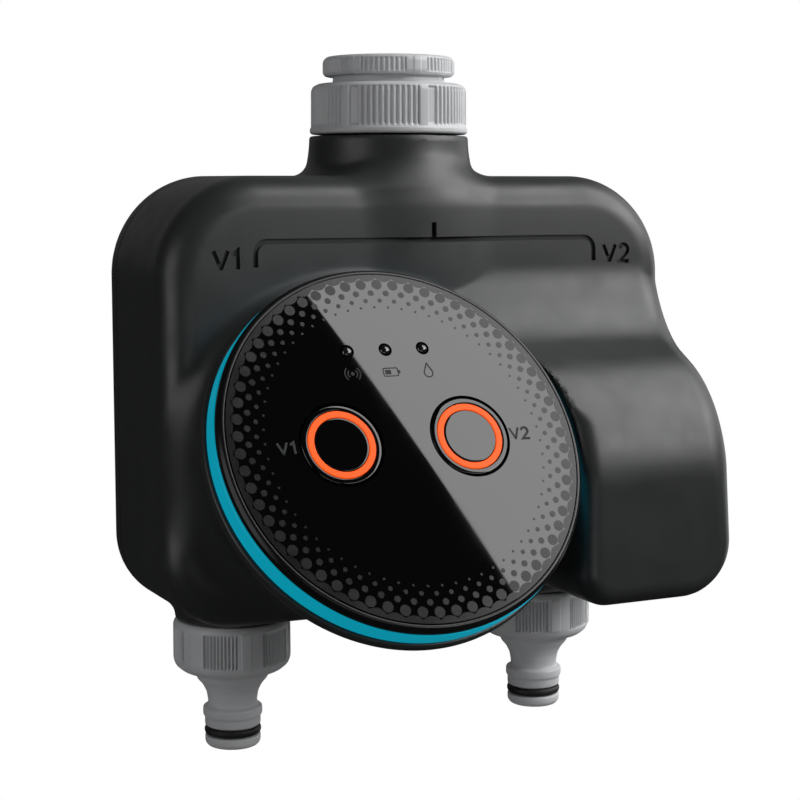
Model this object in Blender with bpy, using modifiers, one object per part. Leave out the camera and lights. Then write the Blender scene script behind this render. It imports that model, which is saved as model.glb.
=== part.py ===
"""Two-outlet tap timer for drip irrigation, modelled as an assembly.

The timer hangs from a garden tap. The tap screws into the inlet adapter at the top, water runs
down through the filter and the manifold to two solenoid valves, and leaves through two hose
nipples at the bottom. A round control panel leans back on the front, and a battery drawer
pulls down out of the box beside it.

Frame: metres, +Z up, the front faces -Y. The origin is on the inlet axis, on the face of the
washer that the tap's spout presses on. Sizes below are in millimetres.
"""

import math

import bmesh
import bpy
from mathutils import Matrix, Vector

MM = 0.001
GAP = 0.3                   # clearance between pieces that touch
WALL = 2.5                  # housing wall
PANEL_FACETS = 36           # sides of the pieces round the panel
FACETS = 20                 # sides of a round piece

# Casing
HALF_WIDTH = 78.3
CASE_FRONT = -28.5
CASE_REAR = 22.5
CASE_TOP = -24.0
CASE_BOTTOM = -147.5
TOP_CORNER = 28.0
BOTTOM_CORNER = 22.0
SEAM_Y = 14.0               # joint between the front housing and the rear cover
NECK_TOP = -12.6
NECK_RADIUS = 23.0
NECK_FOOT_RADIUS = 26.0

# Battery box on the right of the front
BOX_LEFT = 27.2
BOX_RIGHT = 77.9
BOX_FRONT = -66.5
BOX_BOTTOM = -142.3
RAMP_TOP = -59.0
RAMP_BOTTOM = -91.0
BOX_EDGE = 6.0

# Control panel: tilted disc, local +Z points out of its face
PANEL_CENTRE = (-24.4, -62.0, -92.8)
PANEL_TILT = 30.5           # how far the face leans back from upright, degrees
PANEL_RADIUS = 49.2
ACCENT_RADIUS = 51.5
LIP_RADIUS = 52.4
POD_RADIUS = 50.2
POD_BORE = 47.2
POD_DEPTH = 62.0
POD_TAPER = 0.1             # how fast the pod narrows towards the back
BUTTON_X = 18.5
BUTTON_RADIUS = 11.2
BUTTON_Y = 0.5
LAMP_PITCH = 11.0
LAMP_Y = 26.6

# Water path
OUTLET_X = 50.0
OUTLET_FACE = -159.5        # end of the threaded outlet spigot
OUTLET_THREAD = 13.1        # G3/4 male thread, radius
NUT_RADIUS = 22.65
NUT_TOP = 2.3
NUT_BOTTOM = -12.1
TAP_THREAD = 13.2           # G3/4 female thread, radius
ADAPTER_TOP = 10.0
GALLERY_Z = -117.0
CUP_RADIUS = 16.2
CUP_TOP = -104.0

# Batteries: three AA cells in a triangle, in a drawer
CELL_RADIUS = 7.1
CELL_TOP = -84.4
CELL_BOTTOM = -134.9
CELLS = ((43.0, -38.0), (57.6, -38.0), (50.3, -50.6))
DRAWER = (34.4, 66.2, -59.3, -29.2)     # x0, x1, y0, y1 of the cover
COVER_TOP = -138.5
LOCK = (50.3, -44.2)

SCREWS = [(sx * x, z) for x, z in ((62, -40), (67, -78), (18, -136.5)) for sx in (-1, 1)]
POST_RING = 37.0            # posts under the circuit board
LEAD_HOLE = (10.0, -16.0)   # where the leads enter the electronics tray

PARTS = "drip_irrigation_timer"
CUTTERS = "cutters"
MANY_CUTS = ("front_housing", "rear_cover", "manifold")  # EXACT leaves these with open edges


# ---------------------------------------------------------------- helpers

def clear_scene():
    for obj in list(bpy.data.objects):
        bpy.data.objects.remove(obj, do_unlink=True)
    for name in (PARTS, CUTTERS):
        group = bpy.data.collections.new(name)
        bpy.context.scene.collection.children.link(group)


def material(name, colour, roughness, metallic=0.0):
    found = bpy.data.materials.get(name)
    if found:
        return found
    mat = bpy.data.materials.new(name)
    mat.use_nodes = True
    shader = mat.node_tree.nodes["Principled BSDF"]
    shader.inputs["Base Color"].default_value = (*colour, 1.0)
    shader.inputs["Roughness"].default_value = roughness
    shader.inputs["Metallic"].default_value = metallic
    mat.diffuse_color = (*colour, 1.0)
    return mat


def casing_black():
    return material("casing_black", (0.022, 0.024, 0.024), 0.48)


def panel_black():
    return material("panel_black", (0.004, 0.004, 0.004), 0.05)


def accent_teal():
    return material("accent_teal", (0.0, 0.29, 0.4), 0.35)


def connector_grey():
    return material("connector_grey", (0.23, 0.235, 0.24), 0.42)


def rubber():
    return material("rubber", (0.01, 0.01, 0.01), 0.75)


def signal_orange():
    return material("signal_orange", (0.87, 0.13, 0.015), 0.4)


def moulded_white():
    return material("moulded_white", (0.62, 0.63, 0.61), 0.45)


def board_green():
    return material("board_green", (0.02, 0.16, 0.06), 0.4)


def steel():
    return material("steel", (0.62, 0.62, 0.61), 0.3, 1.0)


def copper_coil():
    return material("copper_coil", (0.45, 0.16, 0.06), 0.4, 0.6)


def cell_jacket():
    return material("cell_jacket", (0.32, 0.33, 0.34), 0.35, 0.5)


def lead_red():
    return material("lead_red", (0.35, 0.02, 0.02), 0.5)


def add_object(name, mesh, mat, cutter=False):
    """Link a mesh as a part, or as a hidden cutter when it has no material of its own."""
    obj = bpy.data.objects.new(name, mesh)
    bpy.data.collections[CUTTERS if cutter else PARTS].objects.link(obj)
    if mat:
        mesh.materials.append(mat)
    if cutter:
        obj.hide_render = True
        obj.display_type = "WIRE"
    return obj


def mesh_from(bm, name):
    bmesh.ops.recalc_face_normals(bm, faces=bm.faces)
    mesh = bpy.data.meshes.new(name)
    bm.to_mesh(mesh)
    bm.free()
    return mesh


def box(name, x, y, z, mat=None, cutter=False):
    """A block between the two limits given for each axis."""
    bm = bmesh.new()
    bmesh.ops.create_cube(bm, size=1.0)
    for vert in bm.verts:
        for axis, (low, high) in enumerate((x, y, z)):
            vert.co[axis] = (high if vert.co[axis] > 0 else low) * MM
    return add_object(name, mesh_from(bm, name), mat, cutter)


def turned(name, profile, mat=None, at=(0, 0, 0), steps=FACETS, ring=False, cutter=False):
    """Turn (radius, height) points about Z. The points run down the outer side.

    A ring's profile closes on itself; any other profile starts and ends on the axis.
    """
    mesh = bpy.data.meshes.new(name)
    points = [(r * MM, 0.0, z * MM) for r, z in profile]
    edges = [(i, i + 1) for i in range(len(points) - 1)]
    if ring:
        edges.append((len(points) - 1, 0))
    mesh.from_pydata(points, edges, [])
    obj = add_object(name, mesh, mat, cutter)
    obj.location = [v * MM for v in at]
    screw = obj.modifiers.new("turn", "SCREW")
    screw.axis = "Z"
    screw.steps = steps
    screw.render_steps = steps
    screw.use_merge_vertices = True
    screw.merge_threshold = 0.00001
    screw.use_smooth_shade = False
    return obj


def rod(name, radius, z0, z1, mat=None, at=(0, 0, 0), steps=FACETS, cutter=False):
    return turned(name, [(0, z1), (radius, z1), (radius, z0), (0, z0)], mat, at, steps,
                  cutter=cutter)


def tube(name, outer, inner, z0, z1, mat=None, at=(0, 0, 0), steps=FACETS):
    return turned(name, [(outer, z1), (outer, z0), (inner, z0), (inner, z1)], mat, at, steps,
                  ring=True)


AXES = {
    "X": Matrix(((0, 0, 1), (1, 0, 0), (0, 1, 0))),     # outline in (y, z), pushed along X
    "Y": Matrix(((1, 0, 0), (0, 0, -1), (0, 1, 0))),    # outline in (x, z), pushed along Y
    "Z": Matrix.Identity(3),                            # outline in (x, y), pushed along Z
}


def prism(name, outlines, axis, low, high, mat=None, cutter=False, rim=None, rim_steps=2):
    """Push closed flat outlines along an axis. The first is the edge and the rest are holes.

    rim rounds the edge of one end: ("low", radius) or ("high", radius).
    """
    curve = bpy.data.curves.new(name, "CURVE")
    curve.dimensions = "2D"
    curve.fill_mode = "BOTH"
    curve.extrude = (high - low) / 2 * MM
    for outline in outlines:
        spline = curve.splines.new("POLY")
        spline.points.add(len(outline) - 1)
        for point, (u, v) in zip(spline.points, outline):
            point.co = (u * MM, v * MM, 0, 1)
        spline.use_cyclic_u = True
    guide = bpy.data.objects.new(name + "_outline", curve)
    bpy.context.scene.collection.objects.link(guide)
    solid = bpy.data.meshes.new_from_object(guide.evaluated_get(
        bpy.context.evaluated_depsgraph_get()))
    bpy.data.objects.remove(guide, do_unlink=True)
    bpy.data.curves.remove(curve)
    bm = bmesh.new()
    bm.from_mesh(solid)
    bmesh.ops.remove_doubles(bm, verts=bm.verts, dist=0.000001)
    bmesh.ops.transform(bm, matrix=AXES[axis].to_4x4(), verts=bm.verts)
    index = "XYZ".index(axis)
    for vert in bm.verts:
        vert.co[index] += (low + high) / 2 * MM
    if rim:
        round_rim(bm, index, (low if rim[0] == "low" else high) * MM, rim[1] * MM, rim_steps)
    bpy.data.meshes.remove(solid)
    return add_object(name, mesh_from(bm, name), mat, cutter)


def round_rim(bm, index, level, radius, steps):
    """Round the sharp edges of a prism's end face."""
    bmesh.ops.dissolve_limit(bm, angle_limit=0.002, verts=bm.verts, edges=bm.edges)
    rim = [edge for edge in bm.edges
           if all(abs(vert.co[index] - level) < 0.00001 for vert in edge.verts)
           and edge.calc_face_angle(0.0) > 0.5]
    bmesh.ops.bevel(bm, geom=rim, offset=radius, offset_type="OFFSET", segments=steps,
                    profile=0.5, affect="EDGES", clamp_overlap=True)


def arc(centre, radius, start, end, steps):
    """Points of an arc, angles in degrees, both ends included."""
    points = []
    for i in range(steps + 1):
        angle = math.radians(start + (end - start) * i / steps)
        points.append((centre[0] + radius * math.cos(angle), centre[1] + radius * math.sin(angle)))
    return points


def rounded_rect(u0, u1, v0, v1, lower, upper, steps=6):
    """Anticlockwise outline. lower and upper are the (left, right) corner radii."""
    (ll, lr), (ul, ur) = lower, upper
    return (arc((u1 - lr, v0 + lr), lr, -90, 0, steps) + arc((u1 - ur, v1 - ur), ur, 0, 90, steps)
            + arc((u0 + ul, v1 - ul), ul, 90, 180, steps)
            + arc((u0 + ll, v0 + ll), ll, 180, 270, steps))


def boolean(obj, other, operation):
    other.hide_render = True
    other.display_type = "WIRE"
    for group in list(other.users_collection):
        group.objects.unlink(other)
    bpy.data.collections[CUTTERS].objects.link(other)
    modifier = obj.modifiers.new(operation.lower() + "_" + other.name, "BOOLEAN")
    modifier.operation = operation
    modifier.solver = "MANIFOLD" if obj.name in MANY_CUTS else "EXACT"
    modifier.object = other


def cut(obj, *others):
    for other in others:
        boolean(obj, other, "DIFFERENCE")


def join(obj, *others):
    for other in others:
        boolean(obj, other, "UNION")


def keep(obj, other):
    boolean(obj, other, "INTERSECT")


def on_panel(*objects):
    """Parent objects to the empty at the middle of the panel's face."""
    for obj in objects:
        obj.parent = bpy.data.objects["panel_frame_axis"]


def along_y(obj, x, y, z, backwards=False):
    """Lay a turned piece along Y, its top towards +Y, or towards -Y when backwards."""
    obj.rotation_euler = (math.radians(90 if backwards else -90), 0, 0)
    obj.location = (x * MM, y * MM, z * MM)
    return obj


def tube_along(name, route, radius):
    """A lead: a smooth round tube through the route's points, ready to be joined."""
    curve = bpy.data.curves.new(name, "CURVE")
    curve.dimensions = "3D"
    curve.bevel_depth = radius * MM
    curve.bevel_resolution = 0
    curve.use_fill_caps = True
    points = smooth_route(route)
    spline = curve.splines.new("POLY")
    spline.points.add(len(points) - 1)
    for point, place in zip(spline.points, points):
        point.co = (*(v * MM for v in place), 1)
    return curve_solid(name, curve, None, cutter=True)


def curve_solid(name, curve, mat, cutter=False):
    """Turn a bevelled curve into a mesh object with its caps welded on."""
    guide = bpy.data.objects.new(name + "_path", curve)
    bpy.context.scene.collection.objects.link(guide)
    solid = bpy.data.meshes.new_from_object(guide.evaluated_get(
        bpy.context.evaluated_depsgraph_get()))
    bpy.data.objects.remove(guide, do_unlink=True)
    bpy.data.curves.remove(curve)
    bm = bmesh.new()
    bm.from_mesh(solid)
    bpy.data.meshes.remove(solid)
    bmesh.ops.remove_doubles(bm, verts=bm.verts, dist=0.000001)
    return add_object(name, mesh_from(bm, name), mat, cutter)


def smooth_route(route, steps=3):
    """Catmull-Rom points through a route given by a few points."""
    ends = [route[0], *route, route[-1]]
    points = []
    for a, b, c, d in zip(ends, ends[1:], ends[2:], ends[3:]):
        a, b, c, d = (Vector(p) for p in (a, b, c, d))
        for i in range(steps):
            t = i / steps
            points.append(0.5 * (2 * b + (c - a) * t + (2 * a - 5 * b + 4 * c - d) * t * t
                                 + (3 * b - a - 3 * c + d) * t ** 3))
    return points + [Vector(route[-1])]


# ---------------------------------------------------------------- casing

def case_outline(inset=0.0, steps=4):
    lower = (BOTTOM_CORNER - inset,) * 2
    upper = (TOP_CORNER - inset,) * 2
    return rounded_rect(-HALF_WIDTH + inset, HALF_WIDTH - inset, CASE_BOTTOM + inset,
                        CASE_TOP - inset, lower, upper, steps)


def box_side(inset):
    """Side profile of the battery box in (y, z): flat front, S-shaped ramp at the top."""
    front = BOX_FRONT + inset
    slab = CASE_FRONT + inset
    lift = 0.8 * inset
    edge = 6.0 - inset
    points = [(-5.0, BOX_BOTTOM + inset)]
    points += [(front + edge - v, BOX_BOTTOM + inset + edge - u) for u, v in
               arc((0, 0), edge, 0, 90, 2)]
    steps = 8
    for i in range(steps + 1):
        t = i / steps
        blend = t * t * (3 - 2 * t)
        points.append((front + (slab - front) * blend,
                       RAMP_BOTTOM + (RAMP_TOP - RAMP_BOTTOM) * t - lift))
    return points + [(-5.0, RAMP_TOP - lift)]


def battery_box(name, inset):
    """The box that stands forward on the right, shrunk by inset for its cavity."""
    solid = prism(name, [box_side(inset)], "X", BOX_LEFT + inset * 0.92, BOX_RIGHT - inset,
                  cutter=True)
    front_view = rounded_rect(BOX_LEFT + inset * 0.92, BOX_RIGHT - inset, BOX_BOTTOM + inset,
                              RAMP_TOP + 20, (10 - inset, 16 - inset), (1, 1), 3)
    keep(solid, prism(name + "_front_view", [front_view], "Y", BOX_FRONT - 10, 10, cutter=True))
    bevel = solid.modifiers.new("edges", "BEVEL")
    bevel.width = (BOX_EDGE - inset) * MM
    bevel.segments = 2
    bevel.limit_method = "ANGLE"
    bevel.angle_limit = math.radians(50)
    return solid


def pod(name, radius, inset):
    """The tilted drum behind the control panel, its sides drawn straight back to the case."""
    drum = rod(name, radius, -POD_DEPTH, 5 if inset else -10, cutter=True, steps=PANEL_FACETS)
    on_panel(drum)
    low, high = PANEL_CENTRE[1] - 60, 10
    middle_z = PANEL_CENTRE[2] - 12 * math.sin(math.radians(PANEL_TILT))

    def reach(y):
        return LIP_RADIUS - 0.4 - inset - POD_TAPER * (y - PANEL_CENTRE[1] + 16)

    halves = []
    for half, height in (("lower", math.cos(math.radians(PANEL_TILT))), ("upper", 1.3)):
        cone = turned(f"{name}_{half}", [(0, high), (reach(high), high), (reach(low), low),
                                         (0, low)], cutter=True, steps=PANEL_FACETS)
        along_y(cone, PANEL_CENTRE[0], 0, middle_z)
        cone.scale = (1, height, 1)
        halves.append(cone)
    cut(halves[1], box(name + "_below", (-120, 60), (low - 5, high + 5),
                       (middle_z - 90, middle_z), cutter=True))
    join(halves[0], halves[1])
    keep(drum, halves[0])
    return drum


def pod_lip():
    """The flange that the accent ring sits on."""
    lip = turned("pod_lip", [(0, -9.6), (51.9, -9.6), (LIP_RADIUS, -10.2), (LIP_RADIUS, -12.4),
                             (51.6, -14.0), (49.0, -15.0), (0, -15.0)], cutter=True,
                 steps=PANEL_FACETS)
    on_panel(lip)
    return lip


def neck(name, solid=True):
    """The flared collar under the union nut, or the space inside it."""
    if solid:
        profile = [(0, NECK_TOP), (NECK_RADIUS - 0.6, NECK_TOP), (NECK_RADIUS, NECK_TOP - 0.6),
                   (NECK_RADIUS + 0.3, -16), (NECK_RADIUS + 1.0, -19.5),
                   (NECK_FOOT_RADIUS - 0.9, -22.6), (NECK_FOOT_RADIUS, -24.2),
                   (NECK_FOOT_RADIUS, -27), (0, -27)]
    else:
        profile = [(0, NECK_TOP + 1), (11.0, NECK_TOP + 1), (11.0, NECK_TOP - 2.4),
                   (20.5, NECK_TOP - 2.4), (20.5, -30), (0, -30)]
    return turned(name, profile, cutter=True, steps=24)


def screw_post(name, x, z, y0, y1, radius):
    return along_y(rod(name, radius, y0, y1, steps=8, cutter=True), x, 0, z)


def post_rib(name, x, z):
    """A web that ties a screw post to the nearest wall."""
    side = math.copysign(1, x)
    if z > -60:
        return box(name, (x - 0.8, x + 0.8), (-8, 9), (z, -28), cutter=True)
    if z < -130:
        return box(name, (x - 0.8, x + 0.8), (-8, 9), (-146, z), cutter=True)
    return box(name, sorted((x, side * (HALF_WIDTH - 1.5))), (-8, 9), (z - 0.8, z + 0.8),
               cutter=True)


def drawer_bay():
    """The walls round the drawer, trimmed to stay inside the box's own walls."""
    x0, x1, y0, y1 = DRAWER
    bay = box("drawer_bay", (26, 84), (y1 + GAP, y1 + GAP + 1.5), (-145, -79.6), cutter=True)
    join(bay,
         box("bay_shelf", (26, 84), (-60.0, y1 + 1), (-81.1, -79.6), cutter=True),
         box("bay_front", (26, x1 + 1.8), (y0 - 1.8, y0 - GAP), (-145, -130), cutter=True),
         box("bay_right", (x1 + GAP, x1 + 1.8), (y0 - 1.8, y1 + 1), (-145, -130), cutter=True),
         box("bay_left", (26, x0 - GAP), (y0 - 1.8, y1 + 1), (-145, -130), cutter=True))
    keep(bay, battery_box("bay_limit", 1.2))
    return bay


def front_housing():
    body = prism("front_housing", [case_outline()], "Y", CASE_FRONT, SEAM_Y - GAP / 2,
                 casing_black(), rim=("low", 8.0))
    outside = battery_box("box_outside", 0.0)
    scoop = rod("ring_clearance", ACCENT_RADIUS + 0.7, -9.7, 30, cutter=True,
                steps=PANEL_FACETS)
    on_panel(scoop)
    join(body, outside, pod("pod_outside", POD_RADIUS, 0.0), pod_lip(), neck("neck_outside"))
    cut(body, scoop)
    for side in (-1, 1):
        join(body, rod(f"outlet_rim_{side}", 16.2, -148.9, -146.5, at=(side * OUTLET_X, 0, 0),
                       cutter=True))
    cut(body, prism("case_inside", [case_outline(WALL)], "Y", CASE_FRONT + WALL, 30, cutter=True,
                    rim=("low", 5.5)),
        battery_box("box_inside", WALL),
        pod("pod_inside", POD_BORE, WALL),
        neck("neck_inside", solid=False))
    for side in (-1, 1):
        cut(body, rod(f"outlet_hole_{side}", OUTLET_THREAD + 0.4, -152, -140,
                      at=(side * OUTLET_X, 0, 0), cutter=True))
    join(body, drawer_bay())
    x0, x1, y0, y1 = DRAWER
    cut(body, box("drawer_opening", (x0 - GAP, x1 + GAP), (y0 - GAP, y1 + GAP), (-160, -129),
                  cutter=True))
    for i, (x, z) in enumerate(SCREWS):
        join(body, screw_post(f"post_{i}", x, z, -10, SEAM_Y - 0.5, 3.6),
             post_rib(f"rib_{i}", x, z))
    for i, (x, z) in enumerate(SCREWS):
        cut(body, screw_post(f"pilot_{i}", x, z, 0, 20, 1.8))
    cut(body, box("rear_trim", (-100, 100), (SEAM_Y - GAP / 2, 60), (-170, 10), cutter=True))


def rear_cover():
    cover = prism("rear_cover", [case_outline()], "Y", SEAM_Y + GAP / 2, CASE_REAR,
                  casing_black(), rim=("high", 5.0))
    join(cover, neck("neck_rear"))
    cut(cover, box("neck_trim", (-60, 60), (CASE_REAR, 60), (-60, 10), cutter=True),
        prism("cover_inside", [case_outline(WALL)], "Y", SEAM_Y - 5, CASE_REAR - WALL,
              cutter=True, rim=("high", 3.0)),
        neck("neck_rear_inside", solid=False))
    join(cover, prism("tongue", [case_outline(4.7), case_outline(6.2)], "Y", 10.8,
                      CASE_REAR - 1.5, cutter=True))
    for i, (x, z) in enumerate(SCREWS):
        join(cover, screw_post(f"column_{i}", x, z, SEAM_Y - 0.2, CASE_REAR - 1.5, 4.6))
    for i, (x, z) in enumerate(SCREWS):
        cut(cover, screw_post(f"counterbore_{i}", x, z, 19.5, 30, 3.5),
            screw_post(f"through_{i}", x, z, 5, 25, 1.9))
    cut(cover, box("front_trim", (-28, 28), (-60, SEAM_Y + GAP / 2), (-27.5, 10), cutter=True),
        rod("spigot_room", 12.5, -60, -5, cutter=True))


def housing_seal():
    prism("housing_seal", [case_outline(2.8), case_outline(4.4)], "Y", 11.0, 13.2, rubber())


def screw_profile(head, head_height, shank, length):
    """Profile of a pan-head screw, the head's bearing face at height 0."""
    return [(0, head_height), (head * 0.75, head_height), (head, head_height * 0.4), (head, 0),
            (shank, 0), (shank, -length + 1.5), (0.2, -length), (0, -length)]


def housing_screws():
    for number, (x, z) in enumerate(SCREWS, 1):
        screw = turned(f"housing_screw_{number}", screw_profile(3.0, 2.2, 1.5, 14.0), steel(),
                       steps=10)
        along_y(screw, x, 19.8, z)


# ---------------------------------------------------------------- inlet

def grip_outline(radius, recess, bars):
    """Outline of a hand nut: raised bars round it, with recessed panels between them."""
    points = []
    pitch = 2 * math.pi / bars
    for bar in range(bars):
        for share, level in ((0.0, radius), (0.38, radius), (0.44, radius - recess),
                             (0.94, radius - recess)):
            angle = (bar + share) * pitch
            points.append((level * math.cos(angle), level * math.sin(angle)))
    return points


def union_nut():
    nut = prism("union_nut", [grip_outline(22.5, 0.8, 10)], "Z", -10.4, 2.2,
                connector_grey())
    join(nut, turned("nut_body", [(0, NUT_TOP), (20.3, NUT_TOP), (21.6, 1.8), (21.6, -10),
                                  (NUT_RADIUS + 0.15, -10.2), (NUT_RADIUS + 0.15, -11.7),
                                  (22.3, NUT_BOTTOM), (0, NUT_BOTTOM)], cutter=True, steps=28))
    cut(nut, rod("nut_thread", 16.9, -9.8, 10, cutter=True),
        rod("nut_lip", 11.0, -20, 0, cutter=True))


def inlet_adapter():
    adapter = turned("inlet_adapter",
                     [(17.6, ADAPTER_TOP), (18.7, 9.4), (19.05, 8.4), (19.05, 5.4), (18.4, 4.5),
                      (16.0, 4.4), (16.2, NUT_TOP + 0.2), (16.6, 2.6), (16.6, -2.9), (9.6, -2.9),
                      (9.6, -1.5), (TAP_THREAD, -1.5), (TAP_THREAD, 9.0), (14.0, ADAPTER_TOP)],
                     connector_grey(), ring=True)
    return adapter


def inlet_seals():
    tube("tap_washer", 12.9, 8.6, -1.2, 0.0, rubber())
    tube("inlet_seal", 15.2, 9.8, -6.0, -4.0, rubber())
    turned("inlet_filter", [(0, -23.4), (5.1, -23.4), (7.3, -3.2), (15.2, -3.2), (15.2, -3.7),
                            (7.9, -3.7), (5.6, -24.0), (0, -24.0)], moulded_white())


def inlet_spigot():
    turned("inlet_spigot", [(15.5, -6.3), (15.5, -9.5), (10.4, -9.5), (10.4, -57.5),
                            (8.4, -57.5), (8.4, -6.3)],
           casing_black(), ring=True)


# ---------------------------------------------------------------- manifold and valves

def manifold():
    body = turned("manifold", [(0, -46), (14.6, -46), (14.6, -60), (11.5, -63),
                               (11.5, GALLERY_Z - 10), (0, GALLERY_Z - 10)], moulded_white())
    gallery = rod("gallery_outside", 8.2, -OUTLET_X, OUTLET_X, cutter=True)
    gallery.rotation_euler = (0, math.radians(90), 0)
    gallery.location = (0, 0, GALLERY_Z * MM)
    join(body, gallery)
    for side in (-1, 1):
        join(body, turned(f"cup_{side}", [(0, CUP_TOP), (CUP_RADIUS, CUP_TOP),
                                          (CUP_RADIUS, -122.5), (10.2, -129), (10.2, -146),
                                          (OUTLET_THREAD, -146.4), (OUTLET_THREAD, OUTLET_FACE),
                                          (0, OUTLET_FACE)],
                          at=(side * OUTLET_X, 0, 0), cutter=True))
    cut(body, turned("inlet_bore", [(0, -40), (10.8, -40), (10.8, -58), (8.4, -58),
                                    (8.4, GALLERY_Z), (0, GALLERY_Z)], cutter=True))
    bore = rod("gallery_bore", 5.8, -OUTLET_X, OUTLET_X, cutter=True)
    bore.rotation_euler = (0, math.radians(90), 0)
    bore.location = (0, 0, GALLERY_Z * MM)
    cut(body, bore)
    for side in (-1, 1):
        at = (side * OUTLET_X, 0, 0)
        cut(body, rod(f"chamber_{side}", 14.2, -120.5, -100, at=at, cutter=True))
        join(body, rod(f"seat_{side}", 8.0, -121.5, -106.0, at=at, steps=16, cutter=True))
        cut(body, rod(f"outlet_bore_{side}", 5.8, -170, -100, at=at, steps=16, cutter=True))


def valve(side, number):
    """One servo valve, from the diaphragm up to the solenoid."""
    at = (side * OUTLET_X, 0, 0)
    turned(f"diaphragm_{number}", [(0, -102.3), (15.9, -102.3), (15.9, -103.7), (7.6, -103.7),
                                   (7.2, -105.7), (0, -105.7)], rubber(), at)
    turned(f"valve_bonnet_{number}", [(0, -66.0), (4.8, -66.0), (4.8, -94.0), (12.0, -96.0),
                                      (14.0, -98.0), (CUP_RADIUS, -98.0), (CUP_RADIUS, -102.0),
                                      (13.0, -102.0), (13.0, -100.6), (3.6, -99.0),
                                      (3.6, -72.2), (0, -72.2)], moulded_white(), at)
    turned(f"clamp_ring_{number}", [(18.5, -95.0), (18.5, -108.4), (16.5, -108.4),
                                    (16.5, -97.6), (14.6, -97.6), (14.6, -95.0)],
           casing_black(), at, ring=True)
    rod(f"valve_plunger_{number}", 3.2, -102.0, -80.0, steel(), at, steps=20)
    turned(f"solenoid_coil_{number}", [(10.5, -70.2), (10.5, -71.8), (9.8, -71.8), (9.8, -92.0),
                                       (10.5, -92.0), (10.5, -93.6), (5.2, -93.6),
                                       (5.2, -70.2)], copper_coil(), at, ring=True)
    plunger_spring(f"plunger_spring_{number}", at)


def plunger_spring(name, at, turns=4, radius=2.4, wire=0.35, low=-79.4, high=-72.9):
    """Compression spring over the plunger."""
    curve = bpy.data.curves.new(name, "CURVE")
    curve.dimensions = "3D"
    curve.bevel_depth = wire * MM
    curve.bevel_resolution = 0
    curve.use_fill_caps = True
    steps = turns * 8
    spline = curve.splines.new("POLY")
    spline.points.add(steps)
    for i, point in enumerate(spline.points):
        angle = 2 * math.pi * turns * i / steps
        place = (at[0] + radius * math.cos(angle), at[1] + radius * math.sin(angle),
                 low + (high - low) * i / steps)
        point.co = (*(v * MM for v in place), 1)
    curve_solid(name, curve, steel())


# ---------------------------------------------------------------- outlets

def outlet_connector(side, number):
    """Hand nut and hose nipple in one piece, with its flat seal and O-ring."""
    at = (side * OUTLET_X, 0, 0)
    name = f"outlet_connector_{number}"
    body = turned(name, [(0, -149.3), (15.9, -149.3), (16.4, -150.1), (16.6, -160.8),
                         (16.0, -162.6), (14.2, -164.2), (10.6, -165.2), (10.0, -167.2),
                         (7.4, -171.2), (7.05, -174.9), (8.5, -175.7), (8.5, -177.7),
                         (8.0, -178.5), (8.0, -180.9), (6.4, -180.9), (6.4, -183.7),
                         (8.0, -183.7), (7.9, -185.9), (7.1, -186.9), (0, -186.9)], connector_grey(), at)
    grip = prism(name + "_grip", [grip_outline(17.05, 0.55, 8)], "Z", -161.8, -150.1,
                 cutter=True)
    grip.location = Vector(at) * MM
    join(body, grip)
    cut(body, turned(name + "_bore", [(0, -140), (OUTLET_THREAD + GAP, -140),
                                      (OUTLET_THREAD + GAP, -161.7), (5.0, -161.7), (5.0, -190),
                                      (0, -190)], at=at, cutter=True))
    tube(f"outlet_seal_{number}", 13.0, 6.5, -161.4, -159.8, rubber(), at)
    turned(f"nipple_o_ring_{number}", [(7.6, -181.2), (8.1, -181.9), (8.1, -182.7),
                                       (7.6, -183.4), (6.7, -183.4), (6.7, -181.2)],
           rubber(), at, ring=True)


# ---------------------------------------------------------------- control panel

def panel_axis():
    empty = bpy.data.objects.new("panel_frame_axis", None)
    bpy.data.collections[PARTS].objects.link(empty)
    empty.location = [v * MM for v in PANEL_CENTRE]
    empty.rotation_euler = (math.radians(90 - PANEL_TILT), 0, 0)


def panel_rings():
    on_panel(turned("panel_bezel", [(50.0, -0.3), (51.2, -1.4), (51.2, -3.3), (45.5, -3.3),
                                    (45.5, -1.9), (PANEL_RADIUS + GAP, -1.9),
                                    (PANEL_RADIUS + GAP, -0.3)], casing_black(), steps=PANEL_FACETS,
                    ring=True),
             turned("accent_ring", [(ACCENT_RADIUS, -3.6), (ACCENT_RADIUS, -9.3), (47.4, -9.3),
                                    (47.4, -3.6)], accent_teal(), steps=PANEL_FACETS, ring=True))


def front_panel():
    panel = rod("front_panel", PANEL_RADIUS, -1.6, 0.0, panel_black(), steps=PANEL_FACETS)
    on_panel(panel)
    for side in (-1, 1):
        hole = rod(f"button_hole_{side}", BUTTON_RADIUS + 0.4, -3, 2, cutter=True,
                   at=(side * BUTTON_X, BUTTON_Y, 0))
        on_panel(hole)
        cut(panel, hole)
    for i in (-1, 0, 1):
        hole = rod(f"lamp_hole_{i}", 1.9, -3, 2, cutter=True, at=(i * LAMP_PITCH, LAMP_Y, 0),
                   steps=12)
        on_panel(hole)
        cut(panel, hole)


def buttons():
    for number, side in ((1, -1), (2, 1)):
        at = (side * BUTTON_X, BUTTON_Y, 0)
        on_panel(turned(f"button_{number}", [(0, 0.2), (7.3, 0.2), (7.3, -0.7), (9.5, -0.7),
                                             (9.5, 0.2), (10.8, 0.2), (BUTTON_RADIUS, -0.2),
                                             (BUTTON_RADIUS, -2.6), (4.0, -2.6), (4.0, -5.0),
                                             (0, -5.0)], panel_black(), at),
                 tube(f"button_ring_{number}", 9.2, 7.6, -0.4, 0.2, signal_orange(), at))


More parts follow.
